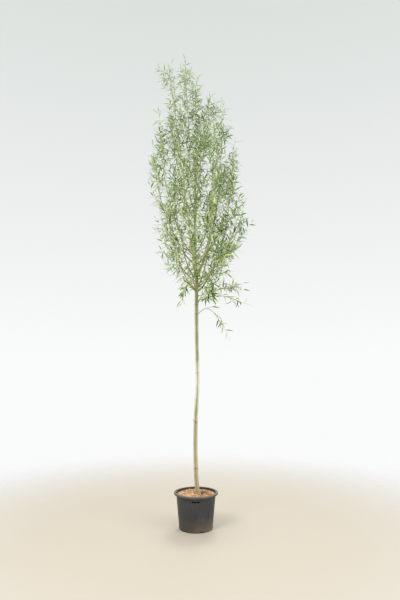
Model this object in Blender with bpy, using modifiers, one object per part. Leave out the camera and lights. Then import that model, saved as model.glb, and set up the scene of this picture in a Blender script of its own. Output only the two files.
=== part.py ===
"""A young willow trained as a standard: one bare stem in a black nursery pot, and a narrow upright crown.

Metres, +Z up. The origin is the middle of the pot's flat underside, and the front faces -Y.
Every limb is one curve from the stem to its own tip. Its bare foot is a bough, and the rest of it is the
stem of a leafy mass, which keeps to its own space.
"""

import math
import random
from typing import NamedTuple

import bmesh
import bpy
import numpy as np
from mathutils import Matrix, Vector

GAP = 0.0003

# Pot
POT_HEIGHT = 0.275
RIM_RADIUS = 0.175
LIP_HEIGHT = 0.015
SHOULDER_RADIUS = 0.1585
FOOT_RADIUS = 0.132
WALL = 0.003
POT_STEPS = 32
DRAIN_NOTCHES = 6
DRAIN_WIDTH, DRAIN_HEIGHT = 0.025, 0.010
DRAIN_HEADING = 290.0
GRIP_WIDTH, GRIP_HEIGHT, GRIP_DEPTH = 0.066, 0.010, 0.0018
GRIP_DROP = 0.042

# Compost, below the rim in the middle and a little lower at the wall
COMPOST_DROP = 0.012
COMPOST_SINK = 0.003
COMPOST_FLAT_RADIUS = 0.090

# Stem: height above the floor, and how far it strays to the right and to the back
STEM_FOOT = POT_HEIGHT - COMPOST_DROP + GAP
STEM_TOP = 3.150
STEM_SWAY = (
    (STEM_FOOT, 0.016, 0.000),
    (0.300, 0.009, 0.000),
    (0.450, 0.000, 0.002),
    (0.620, -0.005, 0.004),
    (0.850, -0.002, 0.000),
    (1.100, 0.011, -0.005),
    (1.320, 0.009, -0.006),
    (1.620, 0.003, 0.000),
    (1.900, 0.003, 0.004),
    (2.040, 0.001, 0.003),
    (2.150, -0.013, 0.000),
    (2.420, -0.014, -0.006),
    (2.800, -0.007, 0.000),
    (STEM_TOP, -0.027, 0.006),
)
FORK_HEIGHT = 2.08
FOOT_DIAMETER, FORK_DIAMETER = 0.0345, 0.0290
LEADER_DIAMETER, LEADER_TIP_DIAMETER = 0.0215, 0.0100
FLARE, FLARE_HEIGHT = 0.0050, 0.030
KNOT_HEIGHTS = (0.455, 0.820, 1.215, 1.700, 1.780)
KNOT_SWELL, KNOT_REACH = 0.0016, 0.012
STEM_STEP = 0.090
STEM_SIDES = 8


class Limb(NamedTuple):
    """A limb's own sizes. Heights are above the floor, and a heading of 0 is right and 90 is to the back."""

    name: str
    leaves: float  # height at which it leaves the stem
    heading: float
    reach: float  # how far its tip is from the pot's axis
    top: float  # height of its tip
    elbow_out: float  # share of its reach at the elbow, where it turns up
    elbow_up: float  # rise from the stem to the elbow
    bare: float  # share of its length that is a leafless bough
    foot: float  # diameter where it leaves the stem
    spread: float  # how far its twigs may stand from it
    twigs: int


LIMBS = (
    Limb("tall_left", 2.28, 188, 0.265, 4.03, 0.45, 0.75, 0.16, 0.0150, 0.105, 6),
    Limb("right_leader", 2.05, 12, 0.23, 3.60, 1.05, 0.55, 0.14, 0.0190, 0.115, 6),
    Limb("right_front", 1.94, 318, 0.20, 3.50, 1.00, 0.24, 0.16, 0.0140, 0.110, 5),
    Limb("right_outer", 1.89, 16, 0.34, 3.27, 0.95, 0.42, 0.22, 0.0140, 0.110, 5),
    Limb("right_middle", 2.12, 340, 0.33, 2.98, 0.90, 0.28, 0.28, 0.0100, 0.095, 4),
    Limb("right_low", 1.99, 2, 0.40, 2.62, 0.75, 0.20, 0.30, 0.0090, 0.090, 3),
    Limb("far_right", 1.95, 349, 0.48, 2.50, 0.55, 0.20, 0.50, 0.0070, 0.075, 2),
    Limb("right_cluster", 1.91, 332, 0.38, 2.27, 0.50, 0.20, 0.14, 0.0080, 0.105, 4),
    Limb("right_back", 1.93, 46, 0.35, 2.42, 0.70, 0.18, 0.16, 0.0080, 0.105, 4),
    Limb("low_bunch", 1.77, 312, 0.22, 1.80, 0.50, 0.17, 0.00, 0.0070, 0.120, 4),
    Limb("low_spray", 1.85, 14, 0.40, 1.955, 0.50, 0.07, 0.14, 0.0060, 0.080, 3),
    Limb("drooping_spray", 1.81, 346, 0.47, 1.735, 0.40, 0.08, 0.30, 0.0060, 0.075, 3),
    Limb("lowest_spray", 1.69, 350, 0.26, 1.52, 0.35, 0.14, 0.20, 0.0050, 0.075, 2),
    Limb("left_low", 1.90, 204, 0.26, 2.60, 0.85, 0.26, 0.20, 0.0120, 0.105, 4),
    Limb("left_outer", 2.13, 169, 0.40, 3.22, 0.80, 0.38, 0.22, 0.0120, 0.110, 5),
    Limb("left_upper", 2.20, 199, 0.34, 3.42, 0.85, 0.36, 0.20, 0.0110, 0.105, 5),
    Limb("left_inner", 2.52, 150, 0.28, 3.56, 0.70, 0.45, 0.18, 0.0100, 0.100, 4),
    Limb("left_bunch", 1.885, 226, 0.14, 1.80, 0.85, 0.07, 0.00, 0.0050, 0.085, 2),
    Limb("front_left", 2.18, 246, 0.27, 3.08, 0.90, 0.30, 0.16, 0.0110, 0.110, 5),
    Limb("front_middle", 2.46, 280, 0.22, 3.30, 0.85, 0.30, 0.18, 0.0100, 0.110, 4),
    Limb("front_right", 2.00, 296, 0.34, 2.92, 0.90, 0.30, 0.18, 0.0110, 0.105, 4),
    Limb("back_middle", 2.34, 92, 0.25, 3.50, 0.85, 0.40, 0.18, 0.0120, 0.110, 5),
    Limb("back_left", 2.00, 126, 0.35, 3.05, 0.90, 0.36, 0.18, 0.0120, 0.110, 4),
    Limb("back_right", 2.22, 54, 0.32, 3.24, 0.90, 0.38, 0.18, 0.0120, 0.110, 5),
    Limb("low_back", 1.88, 98, 0.28, 2.42, 0.80, 0.18, 0.16, 0.0090, 0.105, 4),
    Limb("low_front", 1.96, 262, 0.26, 2.40, 0.80, 0.18, 0.16, 0.0090, 0.105, 4),
    Limb("low_left", 1.97, 160, 0.21, 2.36, 0.80, 0.16, 0.14, 0.0080, 0.095, 3),
    Limb("right_shoulder", 2.96, 20, 0.12, 3.68, 0.95, 0.26, 0.20, 0.0070, 0.080, 3),
    Limb("top_right", 3.06, 100, 0.060, 3.87, 1.30, 0.24, 0.00, 0.0070, 0.080, 3),
    Limb("top", STEM_TOP, 184, 0.115, 3.98, 0.55, 0.40, 0.00, 0.0090, 0.095, 5),
)
LIMB_TIP_DIAMETER = 0.0046
LIMB_WANDER = 0.010
CROTCH_WIDTH, CROTCH_RUN = 0.030, 0.045
BOUGH_SIDES = 6
END_RUN = 0.002

# Twigs and leaves
TWIG_ANGLE, TWIG_ANGLE_SPAN = 34.0, 10.0
TWIG_LIFT = 0.45
TWIG_DIAMETER, TWIG_TIP_DIAMETER = 0.0050, 0.0036
GOLDEN_ANGLE = 137.5
LEAF_LENGTH, LEAF_WIDTH, LEAF_THICKNESS = 0.148, 0.038, 0.0032
LEAF_WIDEST = 0.36
LEAF_ANGLE, LEAF_ANGLE_SPAN = 44.0, 16.0
LEAVES_PER_TWIG = 3
LEAVES_ON_TOP = 4
STEM_STEPS = 8
TWIG_SHARE = 0.62
LEAF_ROOT = 0.0008
LEAF_BEYOND_TIP = 0.8
NEIGHBOUR_MARGIN = 0.005
LIMB_CLEARANCE = 0.003
TRIES = 14


def heading_vector(degrees, up=0.0):
    """A direction over the ground, with an upward share."""
    turn = math.radians(degrees)
    return Vector((math.cos(turn), math.sin(turn), up))


def stem_point(height):
    """The stem's middle at this height, on a smooth curve through its sway."""
    heights, rights, backs = zip(*STEM_SWAY)
    height = min(max(height, heights[0]), heights[-1])
    last = len(heights) - 1
    i = min(max(sum(h <= height for h in heights) - 1, 0), last - 1)
    t = (height - heights[i]) / (heights[i + 1] - heights[i])

    def smooth(values):
        def slope(k):
            low, high = max(k - 1, 0), min(k + 1, last)
            return (values[high] - values[low]) / (heights[high] - heights[low])

        span = heights[i + 1] - heights[i]
        return (
            values[i] * (2 * t**3 - 3 * t**2 + 1)
            + values[i + 1] * (3 * t**2 - 2 * t**3)
            + slope(i) * span * (t**3 - 2 * t**2 + t)
            + slope(i + 1) * span * (t**3 - t**2)
        )

    return Vector((smooth(rights), smooth(backs), height))


def stem_radius(height):
    """Half the stem's diameter: its taper, its step at the fork, its root flare and its knots."""
    if height < FORK_HEIGHT:
        t = (height - STEM_FOOT) / (FORK_HEIGHT - STEM_FOOT)
        diameter = FOOT_DIAMETER + (FORK_DIAMETER - FOOT_DIAMETER) * t
    else:
        t = (height - FORK_HEIGHT) / (STEM_TOP - FORK_HEIGHT)
        step = (FORK_DIAMETER - LEADER_DIAMETER) * math.exp(-(height - FORK_HEIGHT) / 0.03)
        diameter = LEADER_DIAMETER + (LEADER_TIP_DIAMETER - LEADER_DIAMETER) * t + step
    flare = FLARE * math.exp(-(height - STEM_FOOT) / FLARE_HEIGHT)
    knots = sum(KNOT_SWELL * math.exp(-(((height - k) / KNOT_REACH) ** 2)) for k in KNOT_HEIGHTS)
    return diameter / 2 + flare + knots


def limb_point(limb, t):
    """A point on the limb's middle line, t from 0 in the stem to 1 at its tip."""
    start = stem_point(limb.leaves)
    tip = heading_vector(limb.heading) * limb.reach
    tip.z = limb.top
    elbow = start.lerp(tip, limb.elbow_out)
    elbow.z = start.z + limb.elbow_up
    tip -= (tip - elbow).normalized() * LEAF_BEYOND_TIP * LEAF_LENGTH
    point = start * (1 - t) ** 2 + elbow * 2 * t * (1 - t) + tip * t**2
    run = t * (tip - start).length
    crotch = CROTCH_WIDTH * (1 - math.exp(-run / CROTCH_RUN)) * (1 - t) ** 2
    phase = math.radians(limb.heading * 3)
    wander = LIMB_WANDER * math.sin(math.pi * t) * math.sin(3 * math.pi * t + phase)
    return point + heading_vector(limb.heading) * crotch + heading_vector(limb.heading + 90) * wander


def limb_radius(limb, t):
    return (limb.foot + (LIMB_TIP_DIAMETER - limb.foot) * t**0.75) / 2


def limb_heading(limb, t, step=0.01):
    return (limb_point(limb, min(t + step, 1)) - limb_point(limb, max(t - step, 0))).normalized()


def space_radius(limb, t):
    """How far from the limb's line its mass may reach: slim at the foot, full above, a leaf at the tip."""
    side = limb.spread * (0.65 + 0.55 * math.sin(math.pi * min(max(t, 0), 1) ** 0.8))
    return max(side, LEAF_LENGTH * 1.05) if t > 0.9 else side


def limb_line(limb, low, high, steps, ease=1.0):
    """Points and radii along a limb from t low to high, closer together at its foot where ease is over 1."""
    shares = [low + (high - low) * (i / steps) ** ease for i in range(steps + 1)]
    return [limb_point(limb, t) for t in shares], [limb_radius(limb, t) for t in shares]


class Neighbours:
    """All the limbs as short straight runs, to tell whose space a point is in and what it would touch."""

    RUNS = 24

    def __init__(self, limbs):
        starts, ends, owners, shares, radii = [], [], [], [], []
        lines = [[stem_point(STEM_FOOT + (STEM_TOP - STEM_FOOT) * i / 60) for i in range(61)]]
        lines += [[limb_point(limb, i / self.RUNS) for i in range(self.RUNS + 1)] for limb in limbs]
        for owner, line in enumerate(lines):
            for i, (a, b) in enumerate(zip(line, line[1:])):
                share = (i + 0.5) / (len(line) - 1)
                starts.append(a)
                ends.append(b)
                owners.append(owner - 1)
                shares.append(share)
                radii.append(stem_radius(a.z) if owner == 0 else limb_radius(limbs[owner - 1], share))
        self.starts = np.array(starts)
        self.along = np.array(ends) - self.starts
        self.owners, self.shares, self.radii = map(np.array, (owners, shares, radii))
        bare = np.array([limb.bare for limb in limbs] + [2.0])
        self.is_bare = self.shares <= bare[self.owners]

    def distances(self, point):
        away = np.array(point) - self.starts
        t = np.einsum("ij,ij->i", away, self.along) / np.einsum("ij,ij->i", self.along, self.along)
        return np.linalg.norm(away - np.clip(t, 0, 1)[:, None] * self.along, axis=1)

    def allow(self, limbs, index, point):
        """True if this point is in the space of limb number index, and clear of all bare limbs."""
        distances = self.distances(point)
        if (distances - self.radii < LIMB_CLEARANCE)[self.is_bare].any():
            return False
        own = self.owners == index
        nearest = np.argmin(np.where(own, distances, np.inf))
        limb = limbs[index]
        t = (self.shares[nearest] - limb.bare) / (1 - limb.bare)
        if distances[nearest] > space_radius(limb, t):
            return False
        others = np.where(own | self.is_bare, np.inf, distances)
        return others.min() - distances[nearest] > NEIGHBOUR_MARGIN


def new_collection(name, hidden=False):
    made = bpy.data.collections.new(name)
    made.hide_render = hidden
    bpy.context.scene.collection.children.link(made)
    return made


def new_material(name, colour, roughness):
    made = bpy.data.materials.new(name)
    made.use_nodes = True
    shader = made.node_tree.nodes["Principled BSDF"]
    shader.inputs["Base Color"].default_value = (*colour, 1)
    shader.inputs["Roughness"].default_value = roughness
    shader.inputs["Metallic"].default_value = 0.0
    return made


def add_object(name, data, home, material=None):
    made = bpy.data.objects.new(name, data)
    home.objects.link(made)
    if material:
        data.materials.append(material)
    return made


def remove_objects(objects):
    for unwanted in list(objects):
        bpy.data.objects.remove(unwanted)


def flat_mesh(source, name):
    """The object's mesh with its modifiers or bevel applied, its caps welded and its faces turned out."""
    graph = bpy.context.evaluated_depsgraph_get()
    mesh = bpy.data.meshes.new_from_object(source.evaluated_get(graph))
    mesh.name = name
    work = bmesh.new()
    work.from_mesh(mesh)
    bmesh.ops.remove_doubles(work, verts=work.verts, dist=1e-6)
    bmesh.ops.recalc_face_normals(work, faces=work.faces)
    work.to_mesh(mesh)
    work.free()
    return mesh


def triangle_outline(home):
    """The three-cornered outline that twigs are drawn along their line with."""
    outline = bpy.data.curves.new("twig_outline", "CURVE")
    spline = outline.splines.new("POLY")
    spline.points.add(2)
    spline.use_cyclic_u = True
    for corner, point in enumerate(spline.points):
        turn = math.radians(120 * corner + 90)
        point.co = (math.cos(turn), math.sin(turn), 0, 1)
    made = add_object("twig_outline", outline, home)
    made.hide_render = True
    return made


def tube(name, points, radii, sides, home, outline=None):
    """A tapering tube along these points, as a closed mesh object. With an outline it has that section."""
    curve = bpy.data.curves.new(name, "CURVE")
    curve.dimensions = "3D"
    curve.use_fill_caps = True
    if outline:
        curve.bevel_mode = "OBJECT"
        curve.bevel_object = outline
    else:
        curve.bevel_depth = 1.0
        curve.bevel_resolution = (sides - 4) // 2
    spline = curve.splines.new("POLY")
    spline.points.add(len(points) - 1)
    for slot, point, radius in zip(spline.points, points, radii):
        slot.co = (*point, 1)
        slot.radius = radius
    guide = add_object(name + "_line", curve, home)
    bpy.context.view_layer.update()
    made = add_object(name, flat_mesh(guide, name), home)
    made.matrix_world = guide.matrix_world
    bpy.data.objects.remove(guide)
    return made


def keep_largest_body(mesh):
    """Drops the loose scraps a joint leaves, so one closed body stays."""
    work = bmesh.new()
    work.from_mesh(mesh)
    largest, seen = set(), set()
    for first in work.faces:
        if first in seen:
            continue
        body, queue = {first}, [first]
        while queue:
            beside = {face for edge in queue.pop().edges for face in edge.link_faces} - body
            body |= beside
            queue.extend(beside)
        seen |= body
        largest = max(largest, body, key=len)
    bmesh.ops.delete(work, geom=[face for face in work.faces if face not in largest], context="FACES")
    work.to_mesh(mesh)
    work.free()


def apply_boolean(target, operation, solver="EXACT", cutter=None, group=None):
    """Joins target with a collection's objects, or cuts it by one object, and keeps the result."""
    boolean = target.modifiers.new(operation.lower(), "BOOLEAN")
    boolean.operation = operation
    boolean.solver = solver
    if group:
        boolean.operand_type = "COLLECTION"
        boolean.collection = group
    else:
        boolean.object = cutter
    bpy.context.view_layer.update()
    mesh = flat_mesh(target, target.name)
    target.modifiers.clear()
    target.data = mesh


def turned(name, profile, home, material):
    """A round piece from a profile at +X that runs from the axis, over the top, down the outside and back."""
    mesh = bpy.data.meshes.new(name)
    points = [(x, 0, z) for x, z in profile]
    mesh.from_pydata(points, [(i, i + 1) for i in range(len(points) - 1)], [])
    made = add_object(name, mesh, home, material)
    screw = made.modifiers.new("turn", "SCREW")
    screw.steps = screw.render_steps = POT_STEPS
    screw.use_smooth_shade = False
    screw.use_merge_vertices = True
    screw.merge_threshold = 0.0001
    return made


def wall_radius(height, inset=0.0):
    """The pot wall's outer radius at this height, less an inset."""
    return FOOT_RADIUS + (SHOULDER_RADIUS - FOOT_RADIUS) * height / POT_HEIGHT - inset


def arc(centre, radius, first, last, steps=4):
    """Points of a profile round a corner, in degrees."""
    turns = [math.radians(first + (last - first) * i / steps) for i in range(steps + 1)]
    return [(centre[0] + radius * math.cos(a), centre[1] + radius * math.sin(a)) for a in turns]


def cutter_box(name, size, heading, radius, height, home):
    """A box whose middle stands at this heading, radius and height, its first side across the heading."""
    mesh = bpy.data.meshes.new(name)
    work = bmesh.new()
    bmesh.ops.create_cube(work, size=1.0)
    work.to_mesh(mesh)
    work.free()
    made = add_object(name, mesh, home)
    made.hide_render = True
    made.display_type = "WIRE"
    place = heading_vector(heading) * radius
    place.z = height
    turn = Matrix.Rotation(math.radians(heading - 90), 4, "Z")
    made.matrix_world = Matrix.Translation(place) @ turn @ Matrix.Diagonal((*size, 1))
    return made


def build_pot(home, cutters, material):
    """The pot: a tapering wall with a turned-over lip, two blind grips and notches round its foot."""
    top, lip_foot = POT_HEIGHT, POT_HEIGHT - LIP_HEIGHT
    inner_edge = SHOULDER_RADIUS - WALL
    corner = 0.005
    profile = [(0, WALL), (wall_radius(WALL, WALL), WALL)]
    profile += [(inner_edge, top - corner), (inner_edge + corner / 2, top)]
    profile += arc((RIM_RADIUS - corner, top - corner), corner, 90, 0, 3)
    profile += [(RIM_RADIUS, lip_foot), (RIM_RADIUS - WALL, lip_foot)]
    profile += [(RIM_RADIUS - WALL, top - WALL - corner / 2), (SHOULDER_RADIUS, top - WALL - corner / 2)]
    profile += [(wall_radius(corner), corner), (FOOT_RADIUS - corner / 2, 0), (0, 0)]
    pot = turned("pot", profile, home, material)
    boxes = new_collection("pot_cutters", hidden=True)
    cutters.children.link(boxes)
    bpy.context.scene.collection.children.unlink(boxes)
    for i in range(DRAIN_NOTCHES):
        size = (DRAIN_WIDTH, 0.024, 2 * DRAIN_HEIGHT)
        cutter_box(f"drain_{i}", size, DRAIN_HEADING + 60 * i, FOOT_RADIUS + 0.002, 0, boxes)
    grip_height = POT_HEIGHT - GRIP_DROP
    for side, heading in enumerate((270, 90)):
        size = (GRIP_WIDTH, 0.02, GRIP_HEIGHT)
        radius = wall_radius(grip_height) - GRIP_DEPTH + 0.01
        cutter_box(f"grip_{side}", size, heading, radius, grip_height, boxes)
    apply_boolean(pot, "DIFFERENCE", group=boxes)
    return pot


def build_compost(home, material):
    """What fills the pot: flat in the middle, where the stem stands, and a little lower at the wall."""
    top = POT_HEIGHT - COMPOST_DROP
    edge = top - COMPOST_SINK
    inset = WALL + 2 * GAP
    profile = [(0, WALL + GAP), (wall_radius(WALL, inset), WALL + GAP)]
    profile += [(wall_radius(edge, inset), edge), (COMPOST_FLAT_RADIUS, top), (0, top)]
    return turned("compost", profile[::-1], home, material)


def trunk_line():
    """Points and radii up the stem, with rings at its flare, its fork and its knots."""
    rings = round((STEM_TOP - STEM_FOOT) / STEM_STEP)
    heights = {STEM_FOOT + (STEM_TOP - STEM_FOOT) * i / rings for i in range(rings + 1)}
    heights |= {STEM_FOOT + 0.012, STEM_FOOT + 0.035, FORK_HEIGHT, FORK_HEIGHT + 0.040}
    for knot in KNOT_HEIGHTS:
        heights = {h for h in heights if abs(h - knot) > 2 * KNOT_REACH}
        heights |= {knot - 1.5 * KNOT_REACH, knot, knot + 1.5 * KNOT_REACH}
    heights = sorted(heights)
    points = [stem_point(h) for h in heights]
    points[0] = Vector((points[1].x, points[1].y, heights[0]))
    return points, [stem_radius(h) for h in heights]


def build_trunk(home, material):
    """The stem, from its flat foot on the compost to where the top mass begins."""
    trunk = tube("trunk", *trunk_line(), STEM_SIDES, home)
    trunk.data.materials.append(material)
    return trunk


def trunk_cutter(cutters):
    """The stem with the gap round it, which cuts the foot of every limb to the stem's shape."""
    points, radii = trunk_line()
    wider = [radius + GAP / math.cos(math.pi / STEM_SIDES) for radius in radii]
    cutter = tube("trunk_cutter", points, wider, STEM_SIDES, cutters)
    cutter.hide_render = True
    cutter.display_type = "WIRE"
    return cutter


def build_bough(limb, cutter, home, material):
    """The limb's bare foot, cut to the stem."""
    steps = 5 if limb.foot >= 0.010 else 4
    points, radii = limb_line(limb, 0, limb.bare, steps, ease=1.3)
    points.insert(-1, points[-1] - limb_heading(limb, limb.bare) * END_RUN)
    radii.append(radii[-1])
    bough = tube("bough_" + limb.name, points, radii, BOUGH_SIDES, home)
    apply_boolean(bough, "DIFFERENCE", cutter=cutter)
    bough.data.materials.append(material)
    return bough


def leaf_blank():
    """A leaf of six faces along +Z from its root, widest below its middle, with a rib down one face."""
    mesh = bpy.data.meshes.new("leaf")
    work = bmesh.new()
    bmesh.ops.create_uvsphere(work, u_segments=3, v_segments=2, radius=1.0)
    for corner in work.verts:
        along = {-1: 0.0, 0: LEAF_WIDEST, 1: 1.0}[round(corner.co.z)]
        side = corner.co.y / math.sin(math.radians(120)) * LEAF_WIDTH / 2
        corner.co = (-side, corner.co.x * LEAF_THICKNESS / 1.5, along * LEAF_LENGTH)
    work.to_mesh(mesh)
    work.free()
    return mesh


def aim_from(direction, angle, turn):
    """A direction at this angle from another, turned round it, both in degrees."""
    side = direction.orthogonal().normalized()
    side.rotate(Matrix.Rotation(math.radians(turn), 3, direction))
    angle = math.radians(angle)
    return (direction * math.cos(angle) + side * math.sin(angle)).normalized()


def leaf_matrix(root, aim, roll):
    """Places the leaf blank with its root here, along aim, its face turned by roll degrees."""
    turn = aim.to_track_quat("Z", "Y").to_matrix().to_4x4()
    return Matrix.Translation(root) @ turn @ Matrix.Rotation(math.radians(roll), 4, "Z")


def all_allowed(neighbours, index, points):
    return all(neighbours.allow(LIMBS, index, point) for point in points)


def leaf_corners(matrix):
    """Points round a placed leaf's outline, but for its root."""
    widest, side = LEAF_WIDEST * LEAF_LENGTH, LEAF_WIDTH / 2
    corners = [(0, LEAF_LENGTH)]
    corners += [(x, widest) for x in (-side, side)]
    corners += [(x / 2, (widest + LEAF_LENGTH) / 2) for x in (-side, side)]
    corners += [(x / 2, widest / 2) for x in (-side, side)]
    return [matrix @ Vector((x, 0, z)) for x, z in corners]


def grow_leaf(neighbours, index, rng, spot, along, lean, turn):
    """A leaf's placing at this spot of a twig, or None where no try stays in the limb's space."""
    for attempt in range(TRIES):
        angle = lean * (1 - 0.06 * attempt) + rng.uniform(-LEAF_ANGLE_SPAN, LEAF_ANGLE_SPAN)
        way = aim_from(along, angle, turn + rng.uniform(-1, 1) * (50 + 18 * attempt))
        placed = leaf_matrix(spot - way * LEAF_ROOT, way, rng.uniform(0, 180))
        if all_allowed(neighbours, index, leaf_corners(placed)):
            return placed
    return None


def grow_twig(neighbours, index, rng, number):
    """A twig's line from its limb, or None where no try stays in the limb's space."""
    limb = LIMBS[index]
    share = (number + 0.6 + rng.uniform(-0.2, 0.2)) / (limb.twigs + 0.6)
    t = limb.bare + (1 - limb.bare) * share
    root, along = limb_point(limb, t), limb_heading(limb, t)
    for attempt in range(TRIES):
        angle = TWIG_ANGLE + rng.uniform(-TWIG_ANGLE_SPAN, TWIG_ANGLE_SPAN)
        turn = GOLDEN_ANGLE * number + limb.heading + rng.uniform(-1, 1) * (20 + 20 * attempt)
        aim = aim_from(along, angle, turn)
        bend = (aim * (1 - TWIG_LIFT) + along * TWIG_LIFT).normalized()
        length = TWIG_SHARE * space_radius(limb, share) / math.sin(math.radians(angle)) * rng.uniform(0.7, 1)
        middle = root + aim * length * 0.5
        line = [root, middle, middle + bend * length * 0.5]
        if all_allowed(neighbours, index, [root.lerp(middle, 0.7), middle, line[2]]):
            return line
    return None


def along_line(line, share):
    """A point on a twig's bent line and the way it runs there."""
    first, middle, last = line
    if share < 0.5:
        return first.lerp(middle, 2 * share), (middle - first).normalized()
    return middle.lerp(last, 2 * share - 1), (last - middle).normalized()


def grow_mass(neighbours, index):
    """The twigs and leaves of one mass by its own seeded rule: lines, and placings of the leaf blank."""
    limb = LIMBS[index]
    rng = random.Random(limb.name)
    twigs, leaves = [], []
    for k in range(LEAVES_ON_TOP):
        t = 1 - 0.14 * (LEAVES_ON_TOP - 1 - k) / LEAVES_ON_TOP
        lean = 10 if k == LEAVES_ON_TOP - 1 else LEAF_ANGLE * 0.8
        spot, along = limb_point(limb, t), limb_heading(limb, t)
        leaves.append(grow_leaf(neighbours, index, rng, spot, along, lean, 120 * k))
    for number in range(limb.twigs):
        line = grow_twig(neighbours, index, rng, number)
        if not line:
            continue
        twigs.append(line)
        for k in range(LEAVES_PER_TWIG):
            spot, along = along_line(line, (k + 1) / LEAVES_PER_TWIG)
            lean = 12 if k == LEAVES_PER_TWIG - 1 else LEAF_ANGLE
            leaves.append(grow_leaf(neighbours, index, rng, spot, along, lean, 180 * k))
    return twigs, [placed for placed in leaves if placed]


def build_mass(index, neighbours, blank, outline, cutter, home, material):
    """One mass of leaves: the rest of its limb as a stem, with its twigs and leaves fused on."""
    limb = LIMBS[index]
    low = limb.bare
    points, radii = limb_line(limb, low, 1, STEM_STEPS)
    if low > 0 or limb.leaves == STEM_TOP:
        below, end = trunk_line()[0][-2:]
        run = limb_heading(limb, low) if low > 0 else (end - below).normalized()
        points[:1] = [points[0] + run * GAP, points[0] + run * END_RUN]
        radii.insert(0, radii[0])
    stem = tube("leaves_" + limb.name, points, radii, 3, home, outline)
    bits = new_collection("bits_" + limb.name)
    twigs, leaves = grow_mass(neighbours, index)
    thick = [TWIG_DIAMETER / 2, (TWIG_DIAMETER + TWIG_TIP_DIAMETER) / 4, TWIG_TIP_DIAMETER / 2]
    for number, line in enumerate(twigs):
        tube(f"twig_{number}", line, thick, 3, bits, outline)
    for number, placed in enumerate(leaves):
        add_object(f"leaf_{number}", blank, bits).matrix_world = placed
    apply_boolean(stem, "UNION", solver="MANIFOLD", group=bits)
    if low == 0 and limb.leaves < STEM_TOP:
        apply_boolean(stem, "DIFFERENCE", cutter=cutter)
    remove_objects(bits.objects)
    bpy.data.collections.remove(bits)
    keep_largest_body(stem.data)
    stem.data.materials.clear()
    stem.data.materials.append(material)
    return len(leaves)


def main():
    remove_objects(bpy.data.objects)
    willow = new_collection("standard_willow")
    cutters = new_collection("cutters", hidden=True)
    plastic = new_material("black_plastic", (0.030, 0.031, 0.033), 0.55)
    mulch = new_material("mulch", (0.42, 0.24, 0.13), 0.95)
    bark = new_material("green_bark", (0.36, 0.38, 0.15), 0.6)
    foliage = new_material("willow_leaf", (0.20, 0.30, 0.12), 0.6)
    build_pot(willow, cutters, plastic)
    build_compost(willow, mulch)
    build_trunk(willow, bark)
    cutter = trunk_cutter(cutters)
    outline = triangle_outline(cutters)
    blank = leaf_blank()
    neighbours = Neighbours(LIMBS)
    total = 0
    for index, limb in enumerate(LIMBS):
        if limb.bare > 0:
            build_bough(limb, cutter, willow, bark)
        total += build_mass(index, neighbours, blank, outline, cutter, willow, foliage)
    print("leaves kept:", total)


main()
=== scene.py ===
import math
import random
from typing import NamedTuple

import bmesh
import bpy
import numpy as np
from mathutils import Matrix, Vector, noise


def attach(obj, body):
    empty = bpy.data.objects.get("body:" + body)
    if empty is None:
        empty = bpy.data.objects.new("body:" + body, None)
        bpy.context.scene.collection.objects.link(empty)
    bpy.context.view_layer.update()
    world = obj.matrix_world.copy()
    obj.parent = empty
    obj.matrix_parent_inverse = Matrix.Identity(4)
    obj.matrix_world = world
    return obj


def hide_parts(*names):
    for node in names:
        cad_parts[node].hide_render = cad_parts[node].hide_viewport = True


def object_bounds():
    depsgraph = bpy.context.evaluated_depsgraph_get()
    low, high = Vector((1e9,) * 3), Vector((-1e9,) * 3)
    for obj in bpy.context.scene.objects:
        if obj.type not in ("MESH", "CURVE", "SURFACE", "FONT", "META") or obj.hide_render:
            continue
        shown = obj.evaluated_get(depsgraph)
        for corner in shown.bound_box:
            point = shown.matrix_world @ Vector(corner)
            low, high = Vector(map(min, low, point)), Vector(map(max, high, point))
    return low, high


# Looks of a young willow grown as a standard, in a black nursery pot. Metres, +Z up, front towards -Y.
# The limbs, twigs and sprays follow the same seeded rule as the solids, carried on to single leaves.

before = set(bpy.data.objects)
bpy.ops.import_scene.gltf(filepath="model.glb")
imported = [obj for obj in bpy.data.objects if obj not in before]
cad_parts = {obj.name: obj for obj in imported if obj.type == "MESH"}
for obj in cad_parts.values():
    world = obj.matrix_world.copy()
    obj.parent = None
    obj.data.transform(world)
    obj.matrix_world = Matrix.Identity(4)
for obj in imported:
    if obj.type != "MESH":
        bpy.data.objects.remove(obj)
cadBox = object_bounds()
nodeNames = sorted(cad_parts)
massNodes = [n for n in nodeNames if n.startswith("leaves_")]
boughNodes = [n for n in nodeNames if n.startswith("bough_")]
print("frame loaded:", len(nodeNames), "nodes")


# Camera, light and floor

view = {
    "place": (0.032, -4.033, 1.268),
    "pitch": 7.77,  # degrees up from level
    "lens": 29.04,
    "floorColour": (0.62, 0.545, 0.45),
    "lowWall": (0.955, 0.965, 0.965),
    "highWall": (0.72, 0.755, 0.735),
    "wallLight": 1.0,
    "floorRadius": 5.0,
    "floorFade": (0.9, 3.5),  # the floor thins out into the backdrop over this distance
}


def addCamera():
    data = bpy.data.cameras.new("camera")
    data.lens = view["lens"]
    data.sensor_width = 36.0
    data.sensor_fit = "AUTO"
    camera = bpy.data.objects.new("camera", data)
    camera.location = view["place"]
    camera.rotation_euler = (math.radians(90 + view["pitch"]), 0, 0)
    bpy.context.scene.collection.objects.link(camera)
    bpy.context.scene.camera = camera


def addLight(name, place, target, size, power, colour):
    data = bpy.data.lights.new(name, "AREA")
    data.shape = "DISK"
    data.size = size
    data.energy = power
    data.color = colour
    light = bpy.data.objects.new(name, data)
    light.location = place
    light.rotation_euler = (Vector(target) - Vector(place)).to_track_quat("-Z", "Y").to_euler()
    bpy.context.scene.collection.objects.link(light)


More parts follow.
